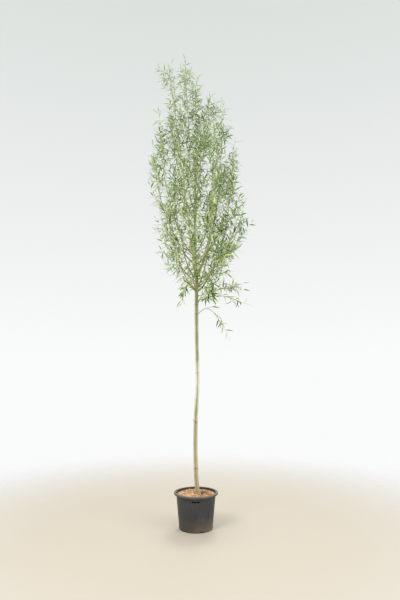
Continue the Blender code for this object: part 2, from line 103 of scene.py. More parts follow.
def addLights():
    addLight("keyLight", (-2.6, -3.6, 4.6), (0, 0, 2.0), 2.6, 160, (1.0, 0.985, 0.96))
    addLight("fillLight", (3.6, -2.6, 2.6), (0, 0, 1.8), 3.0, 60, (0.96, 0.98, 1.0))
    addLight("backLight", (0.8, 3.6, 4.6), (0, 0, 2.6), 2.4, 90, (1.0, 1.0, 1.0))


def addWorld():
    world = bpy.data.worlds.new("studio")
    world.use_nodes = True
    tree = world.node_tree
    sky = tree.nodes["Background"]
    sky.inputs["Strength"].default_value = view["wallLight"]
    around = addNode(tree, "ShaderNodeTexCoord")
    height = addNode(tree, "ShaderNodeSeparateXYZ")
    link(tree, around, "Generated", height, "Vector")
    ramp = addRamp(tree, height, "Z", [(0.03, view["lowWall"]), (0.62, view["highWall"])])
    link(tree, ramp, "Color", sky, "Color")
    bpy.context.scene.world = world
    bpy.context.scene.view_settings.view_transform = "Standard"


# Node helpers


def addNode(tree, kind, values=None, **settings):
    node = tree.nodes.new(kind)
    for label, value in settings.items():
        setattr(node, label, value)
    for label, value in (values or {}).items():
        node.inputs[label].default_value = value
    return node


def link(tree, source, output, target, entry):
    tree.links.new(source.outputs[output], target.inputs[entry])


def newMaterial(name, roughness, colour=(0.5, 0.5, 0.5)):
    material = bpy.data.materials.new(name)
    material.use_nodes = True
    shader = material.node_tree.nodes["Principled BSDF"]
    shader.inputs["Roughness"].default_value = roughness
    shader.inputs["Base Color"].default_value = (*colour, 1)
    return material, material.node_tree, shader


def newGroup(name, entries, results):
    group = bpy.data.node_groups.new(name, "ShaderNodeTree")
    for label, kind, value in entries:
        socket = group.interface.new_socket(label, in_out="INPUT", socket_type="NodeSocket" + kind)
        if value is not None:
            socket.default_value = value
    for label, kind in results:
        group.interface.new_socket(label, in_out="OUTPUT", socket_type="NodeSocket" + kind)
    return group, addNode(group, "NodeGroupInput"), addNode(group, "NodeGroupOutput")


def placeGroup(tree, group, values=None):
    return addNode(tree, "ShaderNodeGroup", values, node_tree=group)


def addRamp(tree, source, output, stops):
    ramp = addNode(tree, "ShaderNodeValToRGB")
    while len(ramp.color_ramp.elements) < len(stops):
        ramp.color_ramp.elements.new(0.5)
    for element, (place, colour) in zip(ramp.color_ramp.elements, stops):
        element.position = place
        element.color = (*colour, 1)
    link(tree, source, output, ramp, "Fac")
    return ramp


def mixColours(tree, mask, maskOutput, low, lowOutput, high):
    mix = addNode(tree, "ShaderNodeMix", data_type="RGBA")
    link(tree, mask, maskOutput, mix, "Factor")
    tree.links.new(low.outputs[lowOutput], mix.inputs[6])
    mix.inputs[7].default_value = (*high, 1)
    return mix


def mathNode(tree, operation, source, output, amount):
    node = addNode(tree, "ShaderNodeMath", operation=operation)
    tree.links.new(source.outputs[output], node.inputs[0])
    if isinstance(amount, tuple):
        tree.links.new(amount[0].outputs[amount[1]], node.inputs[1])
    else:
        node.inputs[1].default_value = amount
    return node


def addBump(tree, source, output, shader, strength, distance):
    bump = addNode(tree, "ShaderNodeBump", {"Strength": strength, "Distance": distance})
    link(tree, source, output, bump, "Height")
    link(tree, bump, "Normal", shader, "Normal")


def addFloor():
    mesh = bpy.data.meshes.new("floor")
    work = bmesh.new()
    bmesh.ops.create_circle(work, cap_ends=True, segments=96, radius=view["floorRadius"])
    work.to_mesh(mesh)
    work.free()
    floor = bpy.data.objects.new("floor", mesh)
    floor.location.z = -0.0005
    bpy.context.scene.collection.objects.link(floor)
    material, tree, shader = newMaterial("paleFloor", 0.7, view["floorColour"])
    where = addNode(tree, "ShaderNodeTexCoord")
    length = addNode(tree, "ShaderNodeVectorMath", operation="LENGTH")
    link(tree, where, "Object", length, "Vector")
    near, far = view["floorFade"]
    cover = addNode(tree, "ShaderNodeMapRange", {"From Min": near, "From Max": far, "To Min": 1.0, "To Max": 0.0})
    cover.interpolation_type = "SMOOTHSTEP"
    link(tree, length, "Value", cover, "Value")
    link(tree, cover, "Result", shader, "Alpha")
    mesh.materials.append(material)


# Shared effects, each a node group


def makeStreakGroup():
    # fine streaks that run up a surface, with a slow mottle over them
    group, entry, result = newGroup(
        "streaks",
        [("Scale", "Float", 60.0), ("Stretch", "Float", 0.06), ("Mottle", "Float", 0.5)],
        [("Mask", "Float"), ("Height", "Float")],
    )
    where = addNode(group, "ShaderNodeTexCoord")
    stretch = addNode(group, "ShaderNodeCombineXYZ", {"X": 1.0, "Y": 1.0})
    link(group, entry, "Stretch", stretch, "Z")
    narrow = addNode(group, "ShaderNodeVectorMath", operation="MULTIPLY")
    link(group, where, "Object", narrow, 0)
    link(group, stretch, "Vector", narrow, 1)
    streak = addNode(group, "ShaderNodeTexNoise", {"Detail": 5.0, "Roughness": 0.6})
    link(group, narrow, "Vector", streak, "Vector")
    link(group, entry, "Scale", streak, "Scale")
    mottle = addNode(group, "ShaderNodeTexNoise", {"Scale": 9.0, "Detail": 3.0})
    link(group, where, "Object", mottle, "Vector")
    mix = addNode(group, "ShaderNodeMix", data_type="FLOAT")
    link(group, entry, "Mottle", mix, "Factor")
    tied = ((streak, "Fac", 2), (mottle, "Fac", 3))
    for node, output, slot in tied:
        group.links.new(node.outputs[output], mix.inputs[slot])
    link(group, mix, "Result", result, "Mask")
    link(group, streak, "Fac", result, "Height")
    return group


def makeSpeckleGroup():
    # small dark or pale flecks, such as lenticels, grit and pores
    group, entry, result = newGroup(
        "speckles",
        [("Scale", "Float", 180.0), ("Size", "Float", 0.3), ("Flatten", "Float", 1.0)],
        [("Mask", "Float"), ("Height", "Float")],
    )
    where = addNode(group, "ShaderNodeTexCoord")
    stretch = addNode(group, "ShaderNodeCombineXYZ", {"X": 1.0, "Y": 1.0})
    link(group, entry, "Flatten", stretch, "Z")
    shaped = addNode(group, "ShaderNodeVectorMath", operation="MULTIPLY")
    link(group, where, "Object", shaped, 0)
    link(group, stretch, "Vector", shaped, 1)
    cells = addNode(group, "ShaderNodeTexVoronoi", {"Randomness": 1.0})
    link(group, shaped, "Vector", cells, "Vector")
    link(group, entry, "Scale", cells, "Scale")
    spot = addNode(group, "ShaderNodeMath", operation="LESS_THAN")
    link(group, cells, "Distance", spot, 0)
    link(group, entry, "Size", spot, 1)
    soft = addNode(group, "ShaderNodeMapRange", {"From Min": 0.0, "To Min": 1.0, "To Max": 0.0})
    link(group, cells, "Distance", soft, "Value")
    link(group, entry, "Size", soft, "From Max")
    link(group, spot, "Value", result, "Mask")
    link(group, soft, "Result", result, "Height")
    return group


def makeDustGroup():
    # dust that lies where a surface faces up, and splashes near the ground
    group, entry, result = newGroup(
        "dust",
        [("Amount", "Float", 0.5), ("Bottom", "Float", 0.0), ("Top", "Float", 0.06), ("Scale", "Float", 30.0)],
        [("Mask", "Float")],
    )
    where = addNode(group, "ShaderNodeTexCoord")
    facing = addNode(group, "ShaderNodeSeparateXYZ")
    link(group, where, "Normal", facing, "Vector")
    place = addNode(group, "ShaderNodeSeparateXYZ")
    link(group, where, "Object", place, "Vector")
    low = addNode(group, "ShaderNodeMapRange", {"To Min": 1.0, "To Max": 0.0})
    link(group, place, "Z", low, "Value")
    link(group, entry, "Bottom", low, "From Min")
    link(group, entry, "Top", low, "From Max")
    up = addNode(group, "ShaderNodeMapRange", {"From Min": 0.3, "From Max": 1.0, "To Max": 0.8})
    link(group, facing, "Z", up, "Value")
    both = mathNode(group, "MAXIMUM", low, "Result", (up, "Result"))
    patches = addNode(group, "ShaderNodeTexNoise", {"Detail": 6.0, "Roughness": 0.7})
    link(group, where, "Object", patches, "Vector")
    link(group, entry, "Scale", patches, "Scale")
    shaped = mathNode(group, "MULTIPLY", both, "Value", (patches, "Fac"))
    scaled = mathNode(group, "MULTIPLY", shaped, "Value", (entry, "Amount"))
    scaled.use_clamp = True
    link(group, scaled, "Value", result, "Mask")
    return group


streaks = makeStreakGroup()
speckles = makeSpeckleGroup()
dust = makeDustGroup()


# The seeded growing rule, as in the solids

stem = {
    "foot": 0.2633,  # height of its flat cut on the compost
    "top": 3.150,
    "fork": 2.08,
    "footDiameter": 0.0345,
    "forkDiameter": 0.0290,
    "leaderDiameter": 0.0215,
    "leaderTipDiameter": 0.0100,
    "flare": 0.0030,
    "flareHeight": 0.030,
    "knots": (0.455, 0.820, 1.215, 1.700, 1.780),
    "knotSwell": 0.0016,
    "knotReach": 0.012,
    "sway": (  # height, right, back
        (0.2633, 0.016, 0.000),
        (0.300, 0.009, 0.000),
        (0.450, 0.000, 0.002),
        (0.620, -0.005, 0.004),
        (0.850, -0.002, 0.000),
        (1.100, 0.011, -0.005),
        (1.320, 0.009, -0.006),
        (1.620, 0.003, 0.000),
        (1.900, 0.003, 0.004),
        (2.040, 0.001, 0.003),
        (2.150, -0.013, 0.000),
        (2.420, -0.014, -0.006),
        (2.800, -0.007, 0.000),
        (3.150, -0.027, 0.006),
    ),
}

growth = {
    "tipDiameter": 0.0046,
    "wander": 0.010,
    "crotchWidth": 0.030,
    "crotchRun": 0.045,
    "twigAngle": (34.0, 10.0),  # middle and span, degrees
    "twigLift": 0.45,
    "twigDiameter": (0.0050, 0.0036),
    "twigShare": 0.62,
    "spiral": 137.5,
    "sprayLength": 0.148,
    "sprayWidth": 0.038,
    "sprayWidest": 0.36,
    "sprayAngle": (44.0, 16.0),
    "spraysPerTwig": 3,
    "spraysOnTop": 4,
    "sprayRoot": 0.0008,
    "beyondTip": 0.8,
    "neighbourMargin": 0.005,
    "limbClearance": 0.003,
    "tries": 14,
}


class Limb(NamedTuple):
    name: str
    leaves: float  # height at which it leaves the stem
    heading: float  # 0 is right and 90 is to the back
    reach: float
    top: float
    elbowOut: float
    elbowUp: float
    bare: float  # share of its length with no leaves in the solids
    foot: float
    spread: float
    twigs: int


limbs = (
    Limb("tall_left", 2.28, 188, 0.265, 4.03, 0.45, 0.75, 0.16, 0.0150, 0.105, 6),
    Limb("right_leader", 2.05, 12, 0.23, 3.60, 1.05, 0.55, 0.14, 0.0190, 0.115, 6),
    Limb("right_front", 1.94, 318, 0.20, 3.50, 1.00, 0.24, 0.16, 0.0140, 0.110, 5),
    Limb("right_outer", 1.89, 16, 0.34, 3.27, 0.95, 0.42, 0.22, 0.0140, 0.110, 5),
    Limb("right_middle", 2.12, 340, 0.33, 2.98, 0.90, 0.28, 0.28, 0.0100, 0.095, 4),
    Limb("right_low", 1.99, 2, 0.40, 2.62, 0.75, 0.20, 0.30, 0.0090, 0.090, 3),
    Limb("far_right", 1.95, 349, 0.48, 2.50, 0.55, 0.20, 0.50, 0.0070, 0.075, 2),
    Limb("right_cluster", 1.91, 332, 0.38, 2.27, 0.50, 0.20, 0.14, 0.0080, 0.105, 4),
    Limb("right_back", 1.93, 46, 0.35, 2.42, 0.70, 0.18, 0.16, 0.0080, 0.105, 4),
    Limb("low_bunch", 1.77, 312, 0.22, 1.80, 0.50, 0.17, 0.00, 0.0070, 0.120, 4),
    Limb("low_spray", 1.85, 14, 0.40, 1.955, 0.50, 0.07, 0.14, 0.0060, 0.080, 3),
    Limb("drooping_spray", 1.81, 346, 0.47, 1.735, 0.40, 0.08, 0.30, 0.0060, 0.075, 3),
    Limb("lowest_spray", 1.69, 350, 0.26, 1.52, 0.35, 0.14, 0.20, 0.0050, 0.075, 2),
    Limb("left_low", 1.90, 204, 0.26, 2.60, 0.85, 0.26, 0.20, 0.0120, 0.105, 4),
    Limb("left_outer", 2.13, 169, 0.40, 3.22, 0.80, 0.38, 0.22, 0.0120, 0.110, 5),
    Limb("left_upper", 2.20, 199, 0.34, 3.42, 0.85, 0.36, 0.20, 0.0110, 0.105, 5),
    Limb("left_inner", 2.52, 150, 0.28, 3.56, 0.70, 0.45, 0.18, 0.0100, 0.100, 4),
    Limb("left_bunch", 1.885, 226, 0.14, 1.80, 0.85, 0.07, 0.00, 0.0050, 0.085, 2),
    Limb("front_left", 2.18, 246, 0.27, 3.08, 0.90, 0.30, 0.16, 0.0110, 0.110, 5),
    Limb("front_middle", 2.46, 280, 0.22, 3.30, 0.85, 0.30, 0.18, 0.0100, 0.110, 4),
    Limb("front_right", 2.00, 296, 0.34, 2.92, 0.90, 0.30, 0.18, 0.0110, 0.105, 4),
    Limb("back_middle", 2.34, 92, 0.25, 3.50, 0.85, 0.40, 0.18, 0.0120, 0.110, 5),
    Limb("back_left", 2.00, 126, 0.35, 3.05, 0.90, 0.36, 0.18, 0.0120, 0.110, 4),
    Limb("back_right", 2.22, 54, 0.32, 3.24, 0.90, 0.38, 0.18, 0.0120, 0.110, 5),
    Limb("low_back", 1.88, 98, 0.28, 2.42, 0.80, 0.18, 0.16, 0.0090, 0.105, 4),
    Limb("low_front", 1.96, 262, 0.26, 2.40, 0.80, 0.18, 0.16, 0.0090, 0.105, 4),
    Limb("low_left", 1.97, 160, 0.21, 2.36, 0.80, 0.16, 0.14, 0.0080, 0.095, 3),
    Limb("right_shoulder", 2.96, 20, 0.12, 3.68, 0.95, 0.26, 0.20, 0.0070, 0.080, 3),
    Limb("top_right", 3.06, 100, 0.060, 3.87, 1.30, 0.24, 0.00, 0.0070, 0.080, 3),
    Limb("top", stem["top"], 184, 0.115, 3.98, 0.55, 0.40, 0.00, 0.0090, 0.095, 5),
)


def headingVector(degrees, up=0.0):
    turn = math.radians(degrees)
    return Vector((math.cos(turn), math.sin(turn), up))


def stemPoint(height):
    heights, rights, backs = zip(*stem["sway"])
    height = min(max(height, heights[0]), heights[-1])
    last = len(heights) - 1
    i = min(max(sum(h <= height for h in heights) - 1, 0), last - 1)
    t = (height - heights[i]) / (heights[i + 1] - heights[i])

    def smooth(values):
        def slope(k):
            low, high = max(k - 1, 0), min(k + 1, last)
            return (values[high] - values[low]) / (heights[high] - heights[low])

        span = heights[i + 1] - heights[i]
        return (
            values[i] * (2 * t**3 - 3 * t**2 + 1)
            + values[i + 1] * (3 * t**2 - 2 * t**3)
            + slope(i) * span * (t**3 - 2 * t**2 + t)
            + slope(i + 1) * span * (t**3 - t**2)
        )

    return Vector((smooth(rights), smooth(backs), height))


def stemRadius(height):
    if height < stem["fork"]:
        t = (height - stem["foot"]) / (stem["fork"] - stem["foot"])
        diameter = stem["footDiameter"] + (stem["forkDiameter"] - stem["footDiameter"]) * t
    else:
        t = (height - stem["fork"]) / (stem["top"] - stem["fork"])
        step = (stem["forkDiameter"] - stem["leaderDiameter"]) * math.exp(-(height - stem["fork"]) / 0.03)
        diameter = stem["leaderDiameter"] + (stem["leaderTipDiameter"] - stem["leaderDiameter"]) * t + step
    flare = stem["flare"] * math.exp(-(height - stem["foot"]) / stem["flareHeight"])
    swell = sum(math.exp(-(((height - k) / stem["knotReach"]) ** 2)) for k in stem["knots"])
    return diameter / 2 + flare + stem["knotSwell"] * swell


def limbPoint(limb, t):
    start = stemPoint(limb.leaves)
    tip = headingVector(limb.heading) * limb.reach
    tip.z = limb.top
    elbow = start.lerp(tip, limb.elbowOut)
    elbow.z = start.z + limb.elbowUp
    tip -= (tip - elbow).normalized() * growth["beyondTip"] * growth["sprayLength"]
    point = start * (1 - t) ** 2 + elbow * 2 * t * (1 - t) + tip * t**2
    run = t * (tip - start).length
    crotch = growth["crotchWidth"] * (1 - math.exp(-run / growth["crotchRun"])) * (1 - t) ** 2
    phase = math.radians(limb.heading * 3)
    wander = growth["wander"] * math.sin(math.pi * t) * math.sin(3 * math.pi * t + phase)
    return point + headingVector(limb.heading) * crotch + headingVector(limb.heading + 90) * wander


def limbRadius(limb, t):
    return (limb.foot + (growth["tipDiameter"] - limb.foot) * t**0.75) / 2


def limbHeading(limb, t, step=0.01):
    return (limbPoint(limb, min(t + step, 1)) - limbPoint(limb, max(t - step, 0))).normalized()


def spaceRadius(limb, t):
    side = limb.spread * (0.65 + 0.55 * math.sin(math.pi * min(max(t, 0), 1) ** 0.8))
    return max(side, growth["sprayLength"] * 1.05) if t > 0.9 else side


class LimbSpaces:
    # all the limbs as short straight runs, to tell whose space a point is in and what it would touch

    def __init__(self, runs=24):
        starts, ends, owners, shares, radii = [], [], [], [], []
        lines = [[stemPoint(stem["foot"] + (stem["top"] - stem["foot"]) * i / 60) for i in range(61)]]
        lines += [[limbPoint(limb, i / runs) for i in range(runs + 1)] for limb in limbs]
        for owner, line in enumerate(lines):
            for i, (a, b) in enumerate(zip(line, line[1:])):
                share = (i + 0.5) / (len(line) - 1)
                starts.append(a)
                ends.append(b)
                owners.append(owner - 1)
                shares.append(share)
                radii.append(stemRadius(a.z) if owner == 0 else limbRadius(limbs[owner - 1], share))
        self.starts = np.array(starts)
        self.along = np.array(ends) - self.starts
        self.owners, self.shares, self.radii = map(np.array, (owners, shares, radii))
        bare = np.array([limb.bare for limb in limbs] + [2.0])
        self.isBare = self.shares <= bare[self.owners]

    def distances(self, point):
        away = np.array(point) - self.starts
        t = np.einsum("ij,ij->i", away, self.along) / np.einsum("ij,ij->i", self.along, self.along)
        return np.linalg.norm(away - np.clip(t, 0, 1)[:, None] * self.along, axis=1)

    def reaches(self, index, point, slack=1.0):
        # True if the point is no further from its own limb than the mass may reach
        distances = np.where(self.owners == index, self.distances(point), np.inf)
        nearest = np.argmin(distances)
        limb = limbs[index]
        t = (self.shares[nearest] - limb.bare) / (1 - limb.bare)
        return distances[nearest] <= spaceRadius(limb, t) * slack

    def allow(self, index, point):
        distances = self.distances(point)
        if (distances - self.radii < growth["limbClearance"])[self.isBare].any():
            return False
        own = self.owners == index
        nearest = np.argmin(np.where(own, distances, np.inf))
        limb = limbs[index]
        t = (self.shares[nearest] - limb.bare) / (1 - limb.bare)
        if distances[nearest] > spaceRadius(limb, t):
            return False
        others = np.where(own | self.isBare, np.inf, distances)
        return others.min() - distances[nearest] > growth["neighbourMargin"]


spaces = LimbSpaces()


def allAllowed(index, points):
    return all(spaces.allow(index, point) for point in points)


def aimFrom(direction, angle, turn):
    side = direction.orthogonal().normalized()
    side.rotate(Matrix.Rotation(math.radians(turn), 3, direction))
    angle = math.radians(angle)
    return (direction * math.cos(angle) + side * math.sin(angle)).normalized()


def sprayMatrix(root, aim, roll):
    turn = aim.to_track_quat("Z", "Y").to_matrix().to_4x4()
    return Matrix.Translation(root) @ turn @ Matrix.Rotation(math.radians(roll), 4, "Z")


def sprayCorners(matrix):
    length, side = growth["sprayLength"], growth["sprayWidth"] / 2
    widest = growth["sprayWidest"] * length
    corners = [(0, length)]
    corners += [(x, widest) for x in (-side, side)]
    corners += [(x / 2, (widest + length) / 2) for x in (-side, side)]
    corners += [(x / 2, widest / 2) for x in (-side, side)]
    return [matrix @ Vector((x, 0, z)) for x, z in corners]


def growSpray(index, rng, spot, along, lean, turn):
    for attempt in range(growth["tries"]):
        span = growth["sprayAngle"][1]
        angle = lean * (1 - 0.06 * attempt) + rng.uniform(-span, span)
        way = aimFrom(along, angle, turn + rng.uniform(-1, 1) * (50 + 18 * attempt))
        placed = sprayMatrix(spot - way * growth["sprayRoot"], way, rng.uniform(0, 180))
        if allAllowed(index, sprayCorners(placed)):
            return spot, way
    return None


def growTwig(index, rng, number):
    limb = limbs[index]
    share = (number + 0.6 + rng.uniform(-0.2, 0.2)) / (limb.twigs + 0.6)
    t = limb.bare + (1 - limb.bare) * share
    root, along = limbPoint(limb, t), limbHeading(limb, t)
    middle, span = growth["twigAngle"]
    lift = growth["twigLift"]
    for attempt in range(growth["tries"]):
        angle = middle + rng.uniform(-span, span)
        turn = growth["spiral"] * number + limb.heading + rng.uniform(-1, 1) * (20 + 20 * attempt)
        aim = aimFrom(along, angle, turn)
        bend = (aim * (1 - lift) + along * lift).normalized()
        length = growth["twigShare"] * spaceRadius(limb, share) / math.sin(math.radians(angle)) * rng.uniform(0.7, 1)
        elbow = root + aim * length * 0.5
        line = [root, elbow, elbow + bend * length * 0.5]
        if allAllowed(index, [root.lerp(elbow, 0.7), elbow, line[2]]):
            return line
    return None


def alongLine(line, share):
    first, middle, last = line
    if share < 0.5:
        return first.lerp(middle, 2 * share), (middle - first).normalized()
    return middle.lerp(last, 2 * share - 1), (last - middle).normalized()


def growMass(index):
    # the twigs and sprays of one mass, as the solids have them
    limb = limbs[index]
    rng = random.Random(limb.name)
    lean, last = growth["sprayAngle"][0], growth["spraysOnTop"] - 1
    twigs, sprays = [], []
    for k in range(last + 1):
        t = 1 - 0.14 * (last - k) / (last + 1)
        angle = 10 if k == last else lean * 0.8
        sprays.append(growSpray(index, rng, limbPoint(limb, t), limbHeading(limb, t), angle, 120 * k))
    for number in range(limb.twigs):
        line = growTwig(index, rng, number)
        if not line:
            continue
        twigs.append(line)
        count = growth["spraysPerTwig"]
        for k in range(count):
            spot, along = alongLine(line, (k + 1) / count)
            sprays.append(growSpray(index, rng, spot, along, 12 if k == count - 1 else lean, 180 * k))
    return twigs, [placed for placed in sprays if placed]


# Meshes from arrays


class MeshParts:
    # points and faces gathered from many small shapes, to make one piece

    def __init__(self):
        self.points, self.faces, self.slots, self.count = [], [], [], 0

    def add(self, points, faces, slot=0):
        self.points.append(np.asarray(points, float))
        self.faces += [tuple(i + self.count for i in face) for face in faces]
        self.slots += [slot] * len(faces)
        self.count += len(points)

    def build(self, name, materials, slot, smooth=True):
        mesh = bpy.data.meshes.new(name)
        mesh.from_pydata(np.concatenate(self.points).tolist(), [], self.faces)
        for material in materials:
            mesh.materials.append(material)
        mesh.polygons.foreach_set("material_index", self.slots)
        mesh.polygons.foreach_set("use_smooth", [smooth] * len(mesh.polygons))
        piece = bpy.data.objects.new(name, mesh)
        bpy.context.scene.collection.objects.link(piece)
        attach(piece, "root")
        return piece


def tubeShape(line, radii, sides, relief=None):
    # a closed tube along a line of points. relief gives a radius share from ring, side and height
    line = np.array(line, float)
    ways = np.gradient(line, axis=0)
    ways /= np.linalg.norm(ways, axis=1)[:, None]
    side = np.cross(ways[0], (0.0, 0.0, 1.0) if abs(ways[0][2]) < 0.9 else (0.0, 1.0, 0.0))
    turns = 2 * math.pi * np.arange(sides) / sides
    points = []
    for middle, way, radius in zip(line, ways, radii):
        side = side - way * (side @ way)
        side /= np.linalg.norm(side)
        other = np.cross(way, side)
        reach = np.full(sides, radius) if relief is None else radius * relief(middle, side, other, turns)
        points.append(middle + reach[:, None] * (np.outer(np.cos(turns), side) + np.outer(np.sin(turns), other)))
    rings = len(line)
    points.append(line[[0, -1]])
    foot, tip = rings * sides, rings * sides + 1
    faces = []
    for i in range(rings - 1):
        for j in range(sides):
            k = (j + 1) % sides
            faces.append((i * sides + j, i * sides + k, (i + 1) * sides + k, (i + 1) * sides + j))
    top = (rings - 1) * sides
    for j in range(sides):
        k = (j + 1) % sides
        faces.append((foot, k, j))
        faces.append((tip, top + j, top + k))
    return np.concatenate(points), faces


def tone(red, green, blue):
    # a screen colour, 0 to 255, as the linear light that sockets take
    shares = [value / 255 for value in (red, green, blue)]
    return tuple(s / 12.92 if s <= 0.04045 else ((s + 0.055) / 1.055) ** 2.4 for s in shares)


# Pot

pot = {
    "height": 0.275,
    "rim": 0.175,
    "shoulder": 0.1585,
    "foot": 0.132,
    "wall": 0.003,
    "lip": 0.015,
    "steps": 144,
    "notches": 6,
    "notchSize": (0.026, 0.0105),
    "notchHeading": 290.0,
    "gripSize": (0.066, 0.010),
    "gripDrop": 0.042,
    "gripDepth": 0.0023,
    "gripColumns": 28,
    "plastic": tone(50, 50, 52),
    # pale scuffs on the lip, partly painted light
    "lipWearAndLight": tone(112, 104, 96),
    "dustColour": tone(128, 110, 86),
}


def wallRadius(height, inset=0.0):
    return pot["foot"] + (pot["shoulder"] - pot["foot"]) * height / pot["height"] - inset


def arcPoints(centre, radius, first, last, steps):
    turns = [math.radians(first + (last - first) * i / steps) for i in range(steps + 1)]
    return [(centre[0] + radius * math.cos(a), centre[1] + radius * math.sin(a)) for a in turns]


def latheShape(profile, steps):
    # a closed round body from a profile that starts and ends on the axis
    ring = 2 * math.pi * np.arange(steps) / steps
    points = [(0.0, 0.0, profile[0][1])]
    for radius, height in profile[1:-1]:
        points += [(radius * math.cos(a), radius * math.sin(a), height) for a in ring]
    points.append((0.0, 0.0, profile[-1][1]))
    rows, last = len(profile) - 2, len(points) - 1
    faces = []
    for j in range(steps):
        k = (j + 1) % steps
        faces.append((0, 1 + j, 1 + k))
        for i in range(rows - 1):
            low, high = 1 + i * steps, 1 + (i + 1) * steps
            faces.append((low + j, high + j, high + k, low + k))
        top = 1 + (rows - 1) * steps
        faces.append((top + j, last, top + k))
    return np.array(points), faces


def addCutter(name, size, heading, radius, height):
    mesh = bpy.data.meshes.new(name)
    work = bmesh.new()
    bmesh.ops.create_cube(work, size=1.0)
    place = headingVector(heading) * radius
    turn = Matrix.Rotation(math.radians(heading - 90), 4, "Z")
    bmesh.ops.transform(work, matrix=Matrix.Diagonal((*size, 1)), verts=work.verts)
    bmesh.ops.bevel(work, geom=work.edges[:], offset=0.0012, segments=2, affect="EDGES")
    bmesh.ops.transform(work, matrix=Matrix.Translation((place.x, place.y, height)) @ turn, verts=work.verts)
    work.to_mesh(mesh)
    work.free()
    cutter = bpy.data.objects.new(name, mesh)
    bpy.context.scene.collection.objects.link(cutter)
    return cutter


def addGripCutter(heading, height):
    # a slot with round ends, bent to the pot's wall
    wide, high = pot["gripSize"]
    span = wide / wallRadius(height)
    columns = pot["gripColumns"]
    points, faces = [], []
    for i in range(columns + 1):
        u = 2 * i / columns - 1
        ended = max(0.0, (abs(u) - 0.86) / 0.14)
        half = high / 2 * math.sqrt(1 - 0.9 * ended**2)
        for side, lift in ((-1, -half), (1, -half), (1, half), (-1, half)):
            radius = wallRadius(height + lift) + (0.004 if side > 0 else -pot["gripDepth"])
            way = headingVector(heading + math.degrees(u * span / 2)) * radius
            points.append((way.x, way.y, height + lift))
    for i in range(columns):
        a, b = 4 * i, 4 * i + 4
        faces += [(a + k, b + k, b + (k + 1) % 4, a + (k + 1) % 4) for k in range(4)]
    faces += [(0, 1, 2, 3), tuple(4 * columns + k for k in (3, 2, 1, 0))]
    mesh = bpy.data.meshes.new("gripCut")
    mesh.from_pydata(points, [], faces)
    cutter = bpy.data.objects.new("gripCut", mesh)
    bpy.context.scene.collection.objects.link(cutter)
    return cutter


def cutOut(piece, cutters):
    for cutter in cutters:
        cut = piece.modifiers.new("cut", "BOOLEAN")
        cut.operation = "DIFFERENCE"
        cut.solver = "EXACT"
        cut.object = cutter
    shown = piece.evaluated_get(bpy.context.evaluated_depsgraph_get())
    mesh = bpy.data.meshes.new_from_object(shown)
    piece.modifiers.clear()
    old, piece.data = piece.data, mesh
    bpy.data.meshes.remove(old)
    for cutter in cutters:
        bpy.data.objects.remove(cutter)


def potProfile():
    top, wall, rim, shoulder = pot["height"], pot["wall"], pot["rim"], pot["shoulder"]
    lipFoot, inner = top - pot["lip"], shoulder - wall
    profile = [(0, wall + 0.001), (wallRadius(wall, wall) - 0.006, wall + 0.001)]
    profile += arcPoints((wallRadius(0.01, wall) - 0.006, wall + 0.007), 0.006, -90, -6, 5)
    profile += [(wallRadius(h, wall), h) for h in (0.05, 0.12, 0.19, 0.235)]
    profile += [(inner - 0.0004, lipFoot - 0.008), (inner, top - 0.007), (inner + 0.001, top - 0.0015)]
    profile += [(inner + 0.003, top - 0.0002), (inner + 0.008, top)]
    profile += arcPoints((rim - 0.0045, top - 0.0045), 0.0045, 90, 0, 6)
    profile += [(rim - 0.0004, lipFoot + 0.004)]
    profile += arcPoints((rim - 0.0014, lipFoot + 0.001), 0.001, 0, -90, 3)
    profile += [(rim - wall, lipFoot), (rim - wall - 0.0008, lipFoot + 0.001)]
    profile += [(rim - wall - 0.001, top - wall - 0.004), (rim - wall - 0.004, top - wall - 0.0012)]
    profile += [(shoulder + 0.0045, top - wall - 0.0012), (shoulder + 0.0012, top - wall - 0.004)]
    profile += [(shoulder + 0.0008, lipFoot - 0.004)]
    profile += [(wallRadius(h), h) for h in (0.246, 0.21, 0.16, 0.10, 0.05, 0.022)]
    profile += [(wallRadius(0.014) + 0.0007, 0.0145), (wallRadius(0.012) + 0.0008, 0.0115)]
    profile += [(wallRadius(0.006) + 0.0004, 0.004), (wallRadius(0) - 0.0008, 0.0008), (pot["foot"] - 0.003, 0)]
    profile += [(pot["foot"] - 0.012, 0), (pot["foot"] - 0.016, 0.0016), (0, 0.0016)]
    return profile


